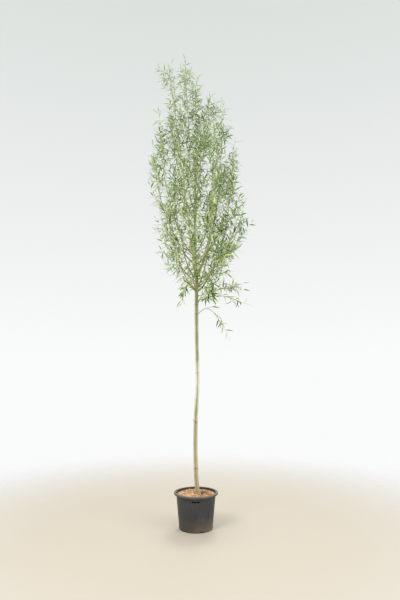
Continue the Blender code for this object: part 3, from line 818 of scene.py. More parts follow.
def potMaterial():
    material, tree, shader = newMaterial("charcoalPlastic", 0.5)
    grain = placeGroup(tree, streaks, {"Scale": 42.0, "Stretch": 0.09, "Mottle": 0.35})
    tones = [(0.34, tone(30, 32, 34)), (0.46, tone(46, 47, 45)), (0.56, pot["plastic"]), (0.68, tone(70, 68, 70))]
    ramp = addRamp(tree, grain, "Mask", tones)
    where = addNode(tree, "ShaderNodeTexCoord")
    place = addNode(tree, "ShaderNodeSeparateXYZ")
    link(tree, where, "Object", place, "Vector")
    # the lip is scuffed paler than the wall on its top and outer faces, partly as painted light; its inner faces are
    # left dark as painted shade
    high = addNode(tree, "ShaderNodeMapRange", {"From Min": pot["height"] - 0.017, "From Max": pot["height"] - 0.004})
    link(tree, place, "Z", high, "Value")
    outward = addNode(tree, "ShaderNodeVectorMath", operation="DOT_PRODUCT")
    link(tree, where, "Object", outward, 0)
    link(tree, where, "Normal", outward, 1)
    outside = addNode(tree, "ShaderNodeMapRange", {"From Min": -0.02, "From Max": 0.12})
    link(tree, outward, "Value", outside, "Value")
    lip = mathNode(tree, "MULTIPLY", high, "Result", (outside, "Result"))
    lipScuffAndLight = mathNode(tree, "MULTIPLY", lip, "Value", (grain, "Mask"))
    lipScuffAndLight = mathNode(tree, "MULTIPLY", lipScuffAndLight, "Value", 1.25)
    lipScuffAndLight.use_clamp = True
    lipWearAndLight = mixColours(tree, lipScuffAndLight, "Value", ramp, "Color", pot["lipWearAndLight"])
    soil = placeGroup(tree, dust, {"Amount": 1.1, "Top": 0.11, "Scale": 26.0})
    # soil was splashed on the right of its foot
    side = addNode(tree, "ShaderNodeMapRange", {"From Min": -0.10, "From Max": 0.12, "To Min": 0.25, "To Max": 1.1})
    link(tree, place, "X", side, "Value")
    splash = mathNode(tree, "MULTIPLY", soil, "Mask", (side, "Result"))
    splash.use_clamp = True
    dusty = addNode(tree, "ShaderNodeMix", data_type="RGBA")
    link(tree, splash, "Value", dusty, "Factor")
    tree.links.new(lipWearAndLight.outputs[2], dusty.inputs[6])
    dusty.inputs[7].default_value = (*pot["dustColour"], 1)
    tree.links.new(dusty.outputs[2], shader.inputs["Base Color"])
    rough = addNode(tree, "ShaderNodeMapRange", {"From Min": 0.3, "From Max": 0.7, "To Min": 0.42, "To Max": 0.66})
    link(tree, grain, "Mask", rough, "Value")
    link(tree, rough, "Result", shader, "Roughness")
    pores = placeGroup(tree, speckles, {"Scale": 900.0, "Size": 0.5, "Flatten": 1.0})
    relief = mathNode(tree, "ADD", grain, "Height", (pores, "Height"))
    addBump(tree, relief, "Value", shader, 0.35, 0.0004)
    return material


def paintedShadeMaterial():
    # painted shade: near-black plastic inside the grips and drain holes, and on the compost seen through them
    material, tree, shader = newMaterial("hollowPlastic", 0.9)
    grain = placeGroup(tree, streaks, {"Scale": 90.0, "Stretch": 1.0, "Mottle": 0.5})
    shader.inputs["Specular IOR Level"].default_value = 0.1
    ramp = addRamp(tree, grain, "Mask", [(0.35, tone(5, 5, 5)), (0.7, tone(16, 15, 15))])
    link(tree, ramp, "Color", shader, "Base Color")
    addBump(tree, grain, "Height", shader, 0.3, 0.0004)
    return material


def addPot():
    parts = MeshParts()
    parts.add(*latheShape(potProfile(), pot["steps"]))
    piece = parts.build("nurseryPot", [potMaterial(), paintedShadeMaterial()], "pot")
    cutters = []
    wide, high = pot["notchSize"]
    for i in range(pot["notches"]):
        heading = pot["notchHeading"] + 60 * i
        cutters.append(addCutter("drainCut", (wide, 0.024, 2 * high), heading, pot["foot"] + 0.002, 0))
    grip = pot["height"] - pot["gripDrop"]
    cutters += [addGripCutter(heading, grip) for heading in (270, 90)]
    cutOut(piece, cutters)
    # painted shade: faces inside the grips and drain holes take the near-black plastic
    for face in piece.data.polygons:
        away = face.center.xy.length
        deep = wallRadius(face.center.z) - away
        inGrip = abs(face.center.z - grip) < pot["gripSize"][1] * 0.52 and 0.0008 < deep < 0.0026
        inNotch = 0.0004 < face.center.z < pot["notchSize"][1] and 0.115 < away < pot["foot"] - 0.0008
        face.material_index = 1 if inGrip or inNotch else 0
    piece.data.polygons.foreach_set("use_smooth", [True] * len(piece.data.polygons))
    piece.data.set_sharp_from_angle(angle=math.radians(38))
    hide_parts("pot")
    return piece


# Bark mulch

mulch = {
    "top": 0.263,
    "sink": 0.003,
    "flat": 0.090,
    "rings": 46,
    "sides": 132,
    "relief": 0.0045,
    "chips": 1050,
    "chipLength": (0.006, 0.023),
    "crumbs": 1500,
    "crumbLength": (0.0018, 0.0052),
    "stemClear": 0.020,
    "colours": {
        "mulchTan": (tone(232, 186, 140), tone(204, 152, 104)),
        "mulchBrown": (tone(186, 140, 98), tone(150, 108, 72)),
        "mulchDark": (tone(104, 86, 52), tone(66, 54, 34)),
        "mulchPale": (tone(242, 220, 188), tone(216, 184, 146)),
    },
}


def mulchHeight(x, y):
    radius = math.hypot(x, y)
    edge = wallRadius(mulch["top"], pot["wall"])
    fall = max(0.0, (radius - mulch["flat"]) / (edge - mulch["flat"]))
    lump = noise.noise(Vector((x * 34, y * 34, 0.3))) + 0.6 * noise.noise(Vector((x * 90, y * 90, 4.1)))
    grit = 0.35 * noise.noise(Vector((x * 260, y * 260, 9.7)))
    return mulch["top"] - 0.001 - mulch["sink"] * fall + mulch["relief"] * (lump + grit) * 0.7


def mulchMaterial(name, light, dark):
    material, tree, shader = newMaterial(name, 0.85)
    grain = placeGroup(tree, streaks, {"Scale": 160.0, "Stretch": 1.0, "Mottle": 0.3})
    ramp = addRamp(tree, grain, "Mask", [(0.34, dark), (0.66, light)])
    specks = placeGroup(tree, speckles, {"Scale": 420.0, "Size": 0.22, "Flatten": 1.0})
    flecked = mixColours(tree, specks, "Mask", ramp, "Color", tuple(c * 0.45 for c in dark))
    tree.links.new(flecked.outputs[2], shader.inputs["Base Color"])
    rough = addNode(tree, "ShaderNodeMapRange", {"From Min": 0.3, "From Max": 0.7, "To Min": 0.72, "To Max": 0.95})
    link(tree, grain, "Mask", rough, "Value")
    link(tree, rough, "Result", shader, "Roughness")
    addBump(tree, grain, "Height", shader, 0.6, 0.0008)
    return material


def addCompost(materials):
    # the ground between the chips, a closed body down to the pot's floor
    rings, sides = mulch["rings"], mulch["sides"]
    edge = wallRadius(mulch["top"] - mulch["sink"], pot["wall"]) - 0.0006
    points, faces = [(0, 0, mulchHeight(0, 0))], []
    for i in range(1, rings + 1):
        radius = edge * i / rings
        for j in range(sides):
            x, y = radius * math.cos(2 * math.pi * j / sides), radius * math.sin(2 * math.pi * j / sides)
            points.append((x, y, mulchHeight(x, y)))
    bottom = pot["wall"] + 0.0015
    low = wallRadius(bottom, pot["wall"]) - 0.006
    for j in range(sides):
        points.append((low * math.cos(2 * math.pi * j / sides), low * math.sin(2 * math.pi * j / sides), bottom))
    points.append((0, 0, bottom))
    last = len(points) - 1
    for j in range(sides):
        k = (j + 1) % sides
        faces.append((0, 1 + j, 1 + k))
        for i in range(rings):
            inside, outside = 1 + i * sides, 1 + (i + 1) * sides
            faces.append((inside + j, outside + j, outside + k, inside + k))
        faces.append((last, last - sides + k, last - sides + j))
    parts = MeshParts()
    parts.add(points, faces)
    piece = parts.build("compostBed", [materials["mulchBrown"], paintedShadeMaterial()], "mulch")
    # painted shade: the compost's sides and floor, seen only through the drain holes, take the near-black plastic
    for face in piece.data.polygons:
        face.material_index = 1 if face.center.z < 0.2 else 0
    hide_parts("compost")


def chipShape(rng, place, heading, tilt, length):
    # a flake of bark with six uneven corners, its top smaller than its underside
    width, thickness = length * rng.uniform(0.35, 0.75), length * rng.uniform(0.14, 0.30)
    turn = Matrix.Rotation(heading, 3, "Z") @ Matrix.Rotation(tilt[0], 3, "X") @ Matrix.Rotation(tilt[1], 3, "Y")
    points = []
    for level, share in ((-0.5, 1.0), (0.5, 0.72)):
        for i in range(6):
            a = math.radians(60 * i + rng.uniform(-16, 16))
            reach = share * rng.uniform(0.8, 1.1) / 2
            rise = (level + rng.uniform(-0.18, 0.18)) * thickness
            points.append(Vector(place) + turn @ Vector((math.cos(a) * length * reach, math.sin(a) * width * reach, rise)))
    points.append(Vector(place) + turn @ Vector((0, 0, -0.5 * thickness)))
    points.append(Vector(place) + turn @ Vector((0, 0, 0.62 * thickness)))
    faces = []
    for i in range(6):
        k = (i + 1) % 6
        faces += [(i, k, 6 + k, 6 + i), (12, k, i), (13, 6 + i, 6 + k)]
    return points, faces


def addChips(materials):
    rng = random.Random("bark chips")
    piles = {name: MeshParts() for name in materials}
    edge = wallRadius(mulch["top"], pot["wall"]) - 0.004
    for count, span, rise in ((mulch["chips"], mulch["chipLength"], 0.5), (mulch["crumbs"], mulch["crumbLength"], 0.2)):
        for _ in range(count):
            length = span[0] + (span[1] - span[0]) * rng.random() ** 1.8
            heading = rng.uniform(0, 2 * math.pi)
            radius = (edge - length / 2) * math.sqrt(rng.random())
            place = headingVector(math.degrees(heading)) * radius
            stemAway = (place - Vector((stemPoint(0.3).x, 0, 0))).length
            if stemAway < mulch["stemClear"] + length / 2:
                continue
            place.z = mulchHeight(place.x, place.y) + length * 0.16 * rise
            tilt = (rng.gauss(0, 0.22), rng.gauss(0, 0.22))
            # painted shadow: dark and brown chips to the right of the stem stand for the stem's cast shadow
            stemShadow = math.exp(-(((place.x - 0.058) / 0.046) ** 2) - ((place.y - 0.01) / 0.085) ** 2)
            draw = rng.random()
            if draw < 0.07 + 0.80 * stemShadow:
                name = "mulchDark"
            elif draw < 0.24 + 0.60 * stemShadow:
                name = "mulchBrown"
            elif draw < 0.76 + 0.22 * stemShadow:
                name = "mulchTan"
            else:
                name = "mulchPale"
            piles[name].add(*chipShape(rng, place, rng.uniform(0, 2 * math.pi), tilt, length))
    for name, pile in piles.items():
        piece = pile.build(name + "Chips", [materials[name]], "mulch", smooth=False)
        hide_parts("compost")


def addMulch():
    materials = {name: mulchMaterial(name, *pair) for name, pair in mulch["colours"].items()}
    addCompost(materials)
    addChips(materials)


# Trunk

bark = {
    "ringStep": 0.0032,
    "sides": 44,
    "wave": 0.030,
    "wrinkle": 0.016,
    "groove": 0.034,
    "cream": tone(224, 222, 196),
    "olive": tone(118, 124, 74),
    "creamHeight": 1.12,
    "creamReach": 0.34,
    # tan of the lower stem, also used as painted light on its front
    "tan": tone(204, 182, 144),
    "scar": tone(66, 56, 42),
    # painted shade of the crown on the stem around the fork
    "forkShade": tone(122, 108, 76),
    "forkHeight": 2.04,
    "forkReach": 0.16,
    "leader": tone(132, 136, 70),
    "lenticel": tone(190, 178, 138),
    "soil": tone(166, 138, 100),
    "stubs": (  # height, heading, length, radius
        (0.822, 196, 0.016, 0.0042),
        (1.722, 12, 0.014, 0.0036),
        (2.022, 232, 0.020, 0.0085),
    ),
    "cutWood": (tone(236, 206, 176), tone(206, 166, 132)),
}


def trunkRelief(middle, side, other, turns):
    shares = []
    z = middle[2]
    for turn in turns:
        way = side * math.cos(turn) + other * math.sin(turn)
        x, y = way[0], way[1]
        wave = noise.noise(Vector((x * 1.3, y * 1.3, z * 5.5)))
        wrinkle = noise.noise(Vector((x * 7, y * 7, z * 26))) + 0.7 * noise.noise(Vector((x * 15, y * 15, z * 70)))
        share = 1 + bark["wave"] * wave + bark["wrinkle"] * wrinkle
        for knot in stem["knots"]:
            off = z - knot - 0.0025 * noise.noise(Vector((x * 1.5, y * 1.5, knot * 7)))
            share -= bark["groove"] * math.exp(-((off / 0.0018) ** 2))
        spot = noise.noise(Vector((x * 5, y * 5, z * 230 + 3)))
        if spot > 0.42:
            share += 0.05 * (spot - 0.42)
        shares.append(share)
    return np.array(shares)


def heightMask(tree, place, height, reach, wobble):
    # 1 near a height above the floor, with a wavy soft edge
    moved = mathNode(tree, "ADD", place, "Z", (wobble, "Value"))
    away = mathNode(tree, "SUBTRACT", moved, "Value", height)
    away = mathNode(tree, "ABSOLUTE", away, "Value", 0.0)
    band = addNode(tree, "ShaderNodeMapRange", {"From Min": reach * 0.2, "From Max": reach, "To Min": 1.0})
    band.inputs["To Max"].default_value = 0.0
    link(tree, away, "Value", band, "Value")
    return band


def barkMaterial():
    material, tree, shader = newMaterial("smoothWillowBark", 0.6)
    grain = placeGroup(tree, streaks, {"Scale": 170.0, "Stretch": 0.055, "Mottle": 0.55})
    where = addNode(tree, "ShaderNodeTexCoord")
    place = addNode(tree, "ShaderNodeSeparateXYZ")
    link(tree, where, "Object", place, "Vector")
    facing = addNode(tree, "ShaderNodeSeparateXYZ")
    link(tree, where, "Normal", facing, "Vector")
    # painted light and shade: the bark is olive where it faces to the front, the back and the sides and creamy between,
    # so that seen from the front its middle and outline are darker and the bands between paler
    front = mathNode(tree, "MULTIPLY", facing, "Y", (facing, "Y"))
    flank = mathNode(tree, "MULTIPLY", facing, "X", (facing, "X"))
    flank = mathNode(tree, "MULTIPLY", flank, "Value", 0.85)
    facingShadeShare = mathNode(tree, "MAXIMUM", front, "Value", (flank, "Value"))
    facingShadeShare = mathNode(tree, "MULTIPLY_ADD", facingShadeShare, "Value", 1.7)
    facingShadeShare.inputs[2].default_value = -0.55
    patch = mathNode(tree, "MULTIPLY_ADD", grain, "Mask", 1.8)
    patch.inputs[2].default_value = -0.9
    # the bark is paler half way up
    above = mathNode(tree, "SUBTRACT", place, "Z", bark["creamHeight"])
    above = mathNode(tree, "ABSOLUTE", above, "Value", 0.0)
    pale = addNode(tree, "ShaderNodeMapRange", {"From Max": bark["creamReach"], "To Min": -0.55, "To Max": 0.05})
    link(tree, above, "Value", pale, "Value")
    facingShadeShare = mathNode(tree, "ADD", facingShadeShare, "Value", (pale, "Result"))
    green = mathNode(tree, "ADD", facingShadeShare, "Value", (patch, "Value"))
    green.use_clamp = True
    creamNode = addNode(tree, "ShaderNodeMix", data_type="RGBA")
    link(tree, green, "Value", creamNode, "Factor")
    creamNode.inputs[6].default_value = (*bark["cream"], 1)
    creamNode.inputs[7].default_value = (*bark["olive"], 1)
    # the lower stem is tan on its right, and the tan reaches round onto its front as painted light that lifts the shade
    # near the pot
    low = addNode(tree, "ShaderNodeMapRange", {"From Min": 0.55, "From Max": 1.05, "To Min": 0.9, "To Max": 0.0})
    link(tree, place, "Z", low, "Value")
    right = addNode(tree, "ShaderNodeMapRange", {"From Min": -0.6, "From Max": 0.9})
    link(tree, facing, "X", right, "Value")
    tanAndLightShare = mathNode(tree, "MULTIPLY", low, "Result", (right, "Result"))
    tanMix = mixColours(tree, tanAndLightShare, "Value", creamNode, 2, bark["tan"])
    crown = addNode(tree, "ShaderNodeMapRange", {"From Min": 1.5, "From Max": 2.2, "To Max": 0.85})
    link(tree, place, "Z", crown, "Value")
    tanMix = mixColours(tree, crown, "Result", tanMix, 2, bark["leader"])
    # painted shade: brown patches on the stem around the fork, where the crown shades it
    noiseNode = addNode(tree, "ShaderNodeTexNoise", {"Scale": 22.0, "Detail": 6.0, "Roughness": 0.65})
    link(tree, where, "Object", noiseNode, "Vector")
    above = mathNode(tree, "SUBTRACT", place, "Z", bark["forkHeight"])
    above = mathNode(tree, "ABSOLUTE", above, "Value", 0.0)
    fork = addNode(tree, "ShaderNodeMapRange", {"From Max": bark["forkReach"], "To Min": 0.36, "To Max": 0.0})
    link(tree, above, "Value", fork, "Value")
    rough = mathNode(tree, "ADD", fork, "Result", (noiseNode, "Fac"))
    forkShadeShare = addNode(tree, "ShaderNodeMapRange", {"From Min": 0.62, "From Max": 0.92})
    link(tree, rough, "Value", forkShadeShare, "Value")
    forkShadeMix = mixColours(tree, forkShadeShare, "Result", tanMix, 2, bark["forkShade"])
    dots = placeGroup(tree, speckles, {"Scale": 105.0, "Size": 0.17, "Flatten": 2.4})
    dotShare = mathNode(tree, "MULTIPLY", dots, "Mask", (noiseNode, "Fac"))
    dotMix = mixColours(tree, dotShare, "Value", forkShadeMix, 2, bark["lenticel"])
    wobble = addNode(tree, "ShaderNodeMath", operation="MULTIPLY_ADD")
    link(tree, noiseNode, "Fac", wobble, 0)
    wobble.inputs[1].default_value = 0.009
    wobble.inputs[2].default_value = -0.0045
    rings = None
    for knot in stem["knots"]:
        band = heightMask(tree, place, knot, 0.005, wobble)
        if rings:
            rings = mathNode(tree, "MAXIMUM", rings, rings.outputs[0].name, (band, "Result"))
        else:
            rings = band
    # a knot's scar is dark where the bark is olive and faint where it is creamy, so it follows the painted facing shade
    broken = addNode(tree, "ShaderNodeMapRange", {"From Min": 0.35, "From Max": 1.0, "To Min": 0.1, "To Max": 0.75})
    link(tree, green, "Value", broken, "Value")
    scarShare = mathNode(tree, "MULTIPLY", rings, "Value", (broken, "Result"))
    scarMix = mixColours(tree, scarShare, "Value", dotMix, 2, bark["scar"])
    soil = placeGroup(tree, dust, {"Amount": 1.3, "Bottom": 0.26, "Top": 0.37, "Scale": 60.0})
    soilMix = mixColours(tree, soil, "Mask", scarMix, 2, bark["soil"])
    tree.links.new(soilMix.outputs[2], shader.inputs["Base Color"])
    gloss = addNode(tree, "ShaderNodeMapRange", {"From Min": 0.3, "From Max": 0.7, "To Min": 0.48, "To Max": 0.72})
    link(tree, grain, "Mask", gloss, "Value")
    link(tree, gloss, "Result", shader, "Roughness")
    relief = mathNode(tree, "ADD", grain, "Height", (dots, "Height"))
    addBump(tree, relief, "Value", shader, 0.5, 0.0006)
    return material


def addTrunk():
    count = round((stem["top"] - stem["foot"]) / bark["ringStep"])
    heights = [stem["foot"] - 0.006] + [stem["foot"] + (stem["top"] - stem["foot"]) * i / count for i in range(count + 1)]
    line = [stemPoint(h) for h in heights]
    for point, height in zip(line, heights):
        point.z = height
    radii = [stemRadius(max(h, stem["foot"])) for h in heights]
    parts = MeshParts()
    parts.add(*tubeShape(line, radii, bark["sides"], trunkRelief))
    for height, heading, length, radius in bark["stubs"]:
        root = stemPoint(height)
        way = headingVector(heading, 0.5).normalized()
        reach = stemRadius(height)
        shares = (0.0, 0.5, 0.8, 1.0, 1.04)
        stub = [root + way * (reach * 0.5 + length * s) for s in shares]
        parts.add(*tubeShape(stub, [radius * r for r in (1.6, 1.25, 1.0, 0.95, 0.9)], 16))
        face = [stub[-1] + way * off for off in (-0.001, 0.0003, 0.0006)]
        parts.add(*tubeShape(face, [radius * r for r in (0.86, 0.84, 0.74)], 16), slot=1)
    piece = parts.build("trunkBark", [barkMaterial(), mulchMaterial("cutWood", *bark["cutWood"])], "trunk_bark")
    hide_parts("trunk")


# Boughs

wood = {
    "ringStep": 0.008,
    "sides": 14,
    "bareRadius": 0.0030,  # the limb is young green wood from where it is thinner than this
    "collar": 0.55,
    "collarRun": 0.016,
    "wave": 0.05,
    "old": (tone(122, 122, 66), tone(168, 170, 104)),
    "young": (tone(126, 130, 62), tone(176, 182, 98)),
    "shoot": (tone(134, 142, 66), tone(182, 190, 104)),
    "red": tone(140, 96, 66),
}


def boughRelief(middle, side, other, turns):
    shares = []
    for turn in turns:
        way = side * math.cos(turn) + other * math.sin(turn)
        spot = Vector((way[0] * 1.6 + middle[0] * 9, way[1] * 1.6 + middle[1] * 9, middle[2] * 22))
        fine = noise.noise(Vector((way[0] * 5, way[1] * 5, middle[2] * 70)))
        shares.append(1 + wood["wave"] * noise.noise(spot) + 0.03 * fine)
    return np.array(shares)


def woodMaterial(name, pair, redShare, scale):
    material, tree, shader = newMaterial(name, 0.6)
    grain = placeGroup(tree, streaks, {"Scale": scale, "Stretch": 0.12, "Mottle": 0.5})
    ramp = addRamp(tree, grain, "Mask", [(0.35, pair[0]), (0.65, pair[1])])
    where = addNode(tree, "ShaderNodeTexCoord")
    patches = addNode(tree, "ShaderNodeTexNoise", {"Scale": 7.0, "Detail": 2.0})
    link(tree, where, "Object", patches, "Vector")
    share = addNode(tree, "ShaderNodeMapRange", {"From Min": 0.5, "From Max": 0.68, "To Max": redShare})
    link(tree, patches, "Fac", share, "Value")
    reddened = mixColours(tree, share, "Result", ramp, "Color", wood["red"])
    dots = placeGroup(tree, speckles, {"Scale": 260.0, "Size": 0.22, "Flatten": 1.8})
    dotted = mixColours(tree, dots, "Mask", reddened, 2, tuple(min(1, c * 1.5) for c in pair[1]))
    tree.links.new(dotted.outputs[2], shader.inputs["Base Color"])
    gloss = addNode(tree, "ShaderNodeMapRange", {"From Min": 0.3, "From Max": 0.7, "To Min": 0.45, "To Max": 0.7})
    link(tree, grain, "Mask", gloss, "Value")
    link(tree, gloss, "Result", shader, "Roughness")
    addBump(tree, grain, "Height", shader, 0.5, 0.0005)
    return material


def limbRun(limb, low, high, step):
    # points and radii along part of a limb, with a collar where it leaves the stem
    length = (limbPoint(limb, high) - limbPoint(limb, low)).length * 1.05
    count = max(4, round(length / step))
    line, radii = [], []
    for i in range(count + 1):
        t = low + (high - low) * i / count
        point = limbPoint(limb, t)
        away = max(0.0, (point - stemPoint(point.z)).length - stemRadius(point.z))
        line.append(point)
        radii.append(limbRadius(limb, t) * (1 + wood["collar"] * math.exp(-away / wood["collarRun"])))
    return line, radii


def woodEnd(limb):
    # the share of the limb at which its bark turns young and green
    steps = [i / 50 for i in range(51)]
    return next((t for t in steps if t > limb.bare and limbRadius(limb, t) < wood["bareRadius"]), 1.0)


def addBoughs():
    parts = MeshParts()
    for limb in limbs:
        end = woodEnd(limb)
        parts.add(*tubeShape(*limbRun(limb, 0.0, end, wood["ringStep"]), wood["sides"], boughRelief))
    piece = parts.build("boughBark", [woodMaterial("olderBark", wood["old"], 0.32, 150.0)], "bough_bark")
    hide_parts(*boughNodes)
    return piece


# Fine shoots and leaves

foliage = {
    "shootStep": 0.086,  # between extra shoots along a limb
    "shootStart": 0.40,  # where they begin, as a share of the limb's leafless part
    "tipRun": 0.34,  # shoots grow shorter over this last length of a limb
    "tipShare": 0.42,
    "shootLength": (0.13, 0.27),
    "shootAngle": (32.0, 62.0),
    "shootTurn": 0.20,  # how soon a shoot turns to run beside its limb
    "shootRadius": (0.0012, 0.0006),
    "shootSides": 5,
    "leafStep": 0.0210,
    "leafAngle": (70.0, 32.0),  # from the shoot's foot to its tip
    "leafLength": (0.052, 0.093),
    "leafWidth": (0.0110, 0.0162),
    "leafThickness": 0.00035,
    "leafFold": 0.16,
    "leafDroop": (0.05, 0.50),
    "leafWeight": 0.16,  # how much leaves hang
    "boxMargin": 0.002,
    "leafy": {  # limbs with fewer or more leaves than the others
        "tall_left": 0.94,
        "top_right": 1.15,
        "right_leader": 1.08,
        "left_inner": 1.08,
        "right_shoulder": 1.15,
        "left_outer": 0.92,
        "right_middle": 0.86,
        "right_low": 0.72,
        "right_cluster": 1.1,
        "front_left": 0.78,
        "front_right": 0.8,
        "back_left": 0.78,
        "back_right": 0.8,
        "low_back": 0.85,
        "low_front": 0.88,
        "low_spray": 0.65,
        "low_bunch": 1.5,
        "left_bunch": 0.8,
    },
    "chains": {"far_right": 2, "drooping_spray": 1, "lowest_spray": 1},  # leaves at each spray's place, and no more
    "chainStep": 0.042,
    "chainLeafy": 0.7,
    "chainShade": -0.14,
    "shade": {"low_bunch": -0.08, "left_bunch": -0.04, "right_cluster": 0.04},
    "rise": {"left_bunch": -1.6, "low_bunch": -0.2},  # how much shoots turn up, or hang where it is below 0
    "tints": {  # upper face and underside
        "leafDeep": (tone(48, 78, 20), tone(100, 128, 70)),
        "leafGreen": (tone(86, 124, 38), tone(140, 164, 100)),
        "leafMid": (tone(130, 156, 92), tone(178, 194, 152)),
        "leafPale": (tone(174, 194, 136), tone(206, 218, 184)),
        "leafYoung": (tone(194, 208, 128), tone(214, 226, 178)),
        "leafSilver": (tone(148, 164, 132), tone(190, 200, 176)),
    },
    "silver": (2.75, 4.3),  # silvery leaves come in between these heights
}

# outline of one leaf: share of its length, and of its half width
leafRows = ((0.10, 0.48), (0.32, 1.0), (0.60, 0.80), (0.84, 0.36))


def leafTemplate():
    # points as side, along and up shares, then faces for the top and the underside
    points = [(0.0, 0.0, 0.0)]
    for along, width in leafRows:
        points += [(-width, along, width), (0.0, along, 0.0), (width, along, width)]
    points.append((0.0, 1.0, 0.0))
    tip = len(points) - 1
    points += [(0.0, along, -1.0) for along, _ in leafRows]
    rows = len(leafRows)
    top, under = [], []
    for side in (0, 1):
        top.append((0, 2 + side, 1 + side))
        for i in range(rows - 1):
            a, b = 1 + 3 * i + side, 4 + 3 * i + side
            top.append((a, a + 1, b + 1, b))
        last = 1 + 3 * (rows - 1) + side
        top.append((last, last + 1, tip))
    for side in (0, 2):
        ridge = tip + 1
        flip = side == 0
        face = (0, 1 + side, ridge)
        under.append(face if flip else face[::-1])
        for i in range(rows - 1):
            a, b, c, d = 1 + 3 * i + side, ridge + i, ridge + i + 1, 4 + 3 * i + side
            under.append((b, a, d, c) if flip else (a, b, c, d))
        last = 1 + 3 * (rows - 1) + side
        face = (last, tip, ridge + rows - 1)
        under.append(face if flip else face[::-1])
    return np.array(points), top, under


class LeafPile:
    # the places and sizes of all leaves of one tint

    def __init__(self):
        self.rows = []

    def add(self, root, aim, up, length, width, droop, sweep):
        self.rows.append((*root, *aim, *up, length, width, droop, sweep))

    def build(self, name, materials):
        shape, top, under = leafTemplate()
        rows = np.array(self.rows)
        root, aim, up = rows[:, 0:3], rows[:, 3:6], rows[:, 6:9]
        length, width, droop, sweep = rows[:, 9], rows[:, 10], rows[:, 11], rows[:, 12]
        side = np.cross(aim, up)
        across, along, rise = shape[:, 0], shape[:, 1], shape[:, 2]
        half = width[:, None] / 2
        x = across[None, :] * half + sweep[:, None] * length[:, None] * along[None, :] ** 2
        y = along[None, :] * length[:, None]
        lift = np.where(rise > 0, rise, 0) * foliage["leafFold"]
        z = lift[None, :] * half - np.where(rise < 0, foliage["leafThickness"], 0)[None, :]
        z = z - droop[:, None] * length[:, None] * along[None, :] ** 2
        points = root[:, None, :] + x[..., None] * side[:, None, :]
        points = points + y[..., None] * aim[:, None, :] + z[..., None] * up[:, None, :]
        step = len(shape)
        faces, slots = [], []
        for i in range(len(rows)):
            base = i * step
            faces += [tuple(k + base for k in face) for face in top]
            faces += [tuple(k + base for k in face) for face in under]
            slots += [0] * len(top) + [1] * len(under)
        parts = MeshParts()
        parts.points, parts.faces, parts.slots = [points.reshape(-1, 3)], faces, slots
        piece = parts.build(name, materials, "foliage")
        piece.data.set_sharp_from_angle(angle=math.radians(50))
        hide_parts(*massNodes)
        return piece


def leafMaterial(name, colour, roughness):
    material, tree, shader = newMaterial(name, roughness, colour)
    shader.inputs["Specular IOR Level"].default_value = 0.3
    grain = placeGroup(tree, streaks, {"Scale": 300.0, "Stretch": 1.0, "Mottle": 0.5})
    gloss = addNode(tree, "ShaderNodeMapRange", {"From Min": 0.3, "From Max": 0.7})
    gloss.inputs["To Min"].default_value = roughness - 0.08
    gloss.inputs["To Max"].default_value = roughness + 0.10
    link(tree, grain, "Mask", gloss, "Value")
    link(tree, gloss, "Result", shader, "Roughness")
    addBump(tree, grain, "Height", shader, 0.3, 0.0003)
    return material


def insideBox(point):
    low, high = cadBox
    edge = foliage["boxMargin"]
    return all(low[i] + edge <= point[i] <= high[i] - edge for i in range(3))


def tintFor(rng, spot, shade=0.0):
    # paler leaves are at the top and at the foot of the crown, those at the foot as painted light against the crown's
    # own shade, and it is greener on its right
    draw = rng.gauss(0.47 + 0.08 * abs(spot.z - 2.95) + shade - 0.15 * spot.x, 0.27)
    low, high = foliage["silver"]
    *greens, silver = foliage["tints"]
    if rng.random() < (spot.z - low) / (high - low):
        return silver
    return greens[min(max(int(draw * len(greens)), 0), len(greens) - 1)]


def shootLine(rng, root, way, towards, length, turn):
    # a slender path that leaves along way and bends round to run towards its new heading
    line = [root]
    heading = way
    for _ in range(6):
        line.append(line[-1] + heading * length / 6)
        stray = Vector([rng.uniform(-0.07, 0.07) for _ in range(3)])
        heading = (heading.lerp(towards, turn) + stray).normalized()
    return line


def alongPath(line, share):
    place = min(max(share, 0.0), 1.0) * (len(line) - 1)
    i = min(int(place), len(line) - 2)
    return line[i].lerp(line[i + 1], place - i), (line[i + 1] - line[i]).normalized()


def tipShare(limb, point):
    # 1 along most of a limb, and less towards its tip
    away = (point - limbPoint(limb, 1)).length / foliage["tipRun"]
    return min(1.0, foliage["tipShare"] + (1 - foliage["tipShare"]) * away)


def growLeaf(rng, spot, along, share, turn, tint, piles):
    low, high = foliage["leafAngle"]
    angle = rng.uniform(0, 16) if share >= 1 else low + (high - low) * share + rng.uniform(-20, 20)
    aim = (aimFrom(along, angle, turn) - Vector((0, 0, foliage["leafWeight"]))).normalized()
    up = along * 0.45 + Vector((0, 0, 0.6)) + Vector([rng.uniform(-0.4, 0.4) for _ in range(3)])
    up = (up - aim * up.dot(aim)).normalized()
    small, large = foliage["leafLength"]
    size = (small + (large - small) * rng.random()) * (0.62 + 0.38 * math.sin(math.pi * (0.18 + 0.72 * share)))
    narrow, wide = foliage["leafWidth"]
    width = (narrow + (wide - narrow) * rng.random()) * (0.6 + 0.4 * size / large)
    low, high = foliage["leafDroop"]
    droop = low + (high - low) * rng.random()
    tip = spot + aim * size - up * droop * size
    if insideBox(spot + aim * size * 0.6) and insideBox(tip):
        piles[tint].add(spot, aim, up, size, width, droop, rng.uniform(-0.16, 0.16))


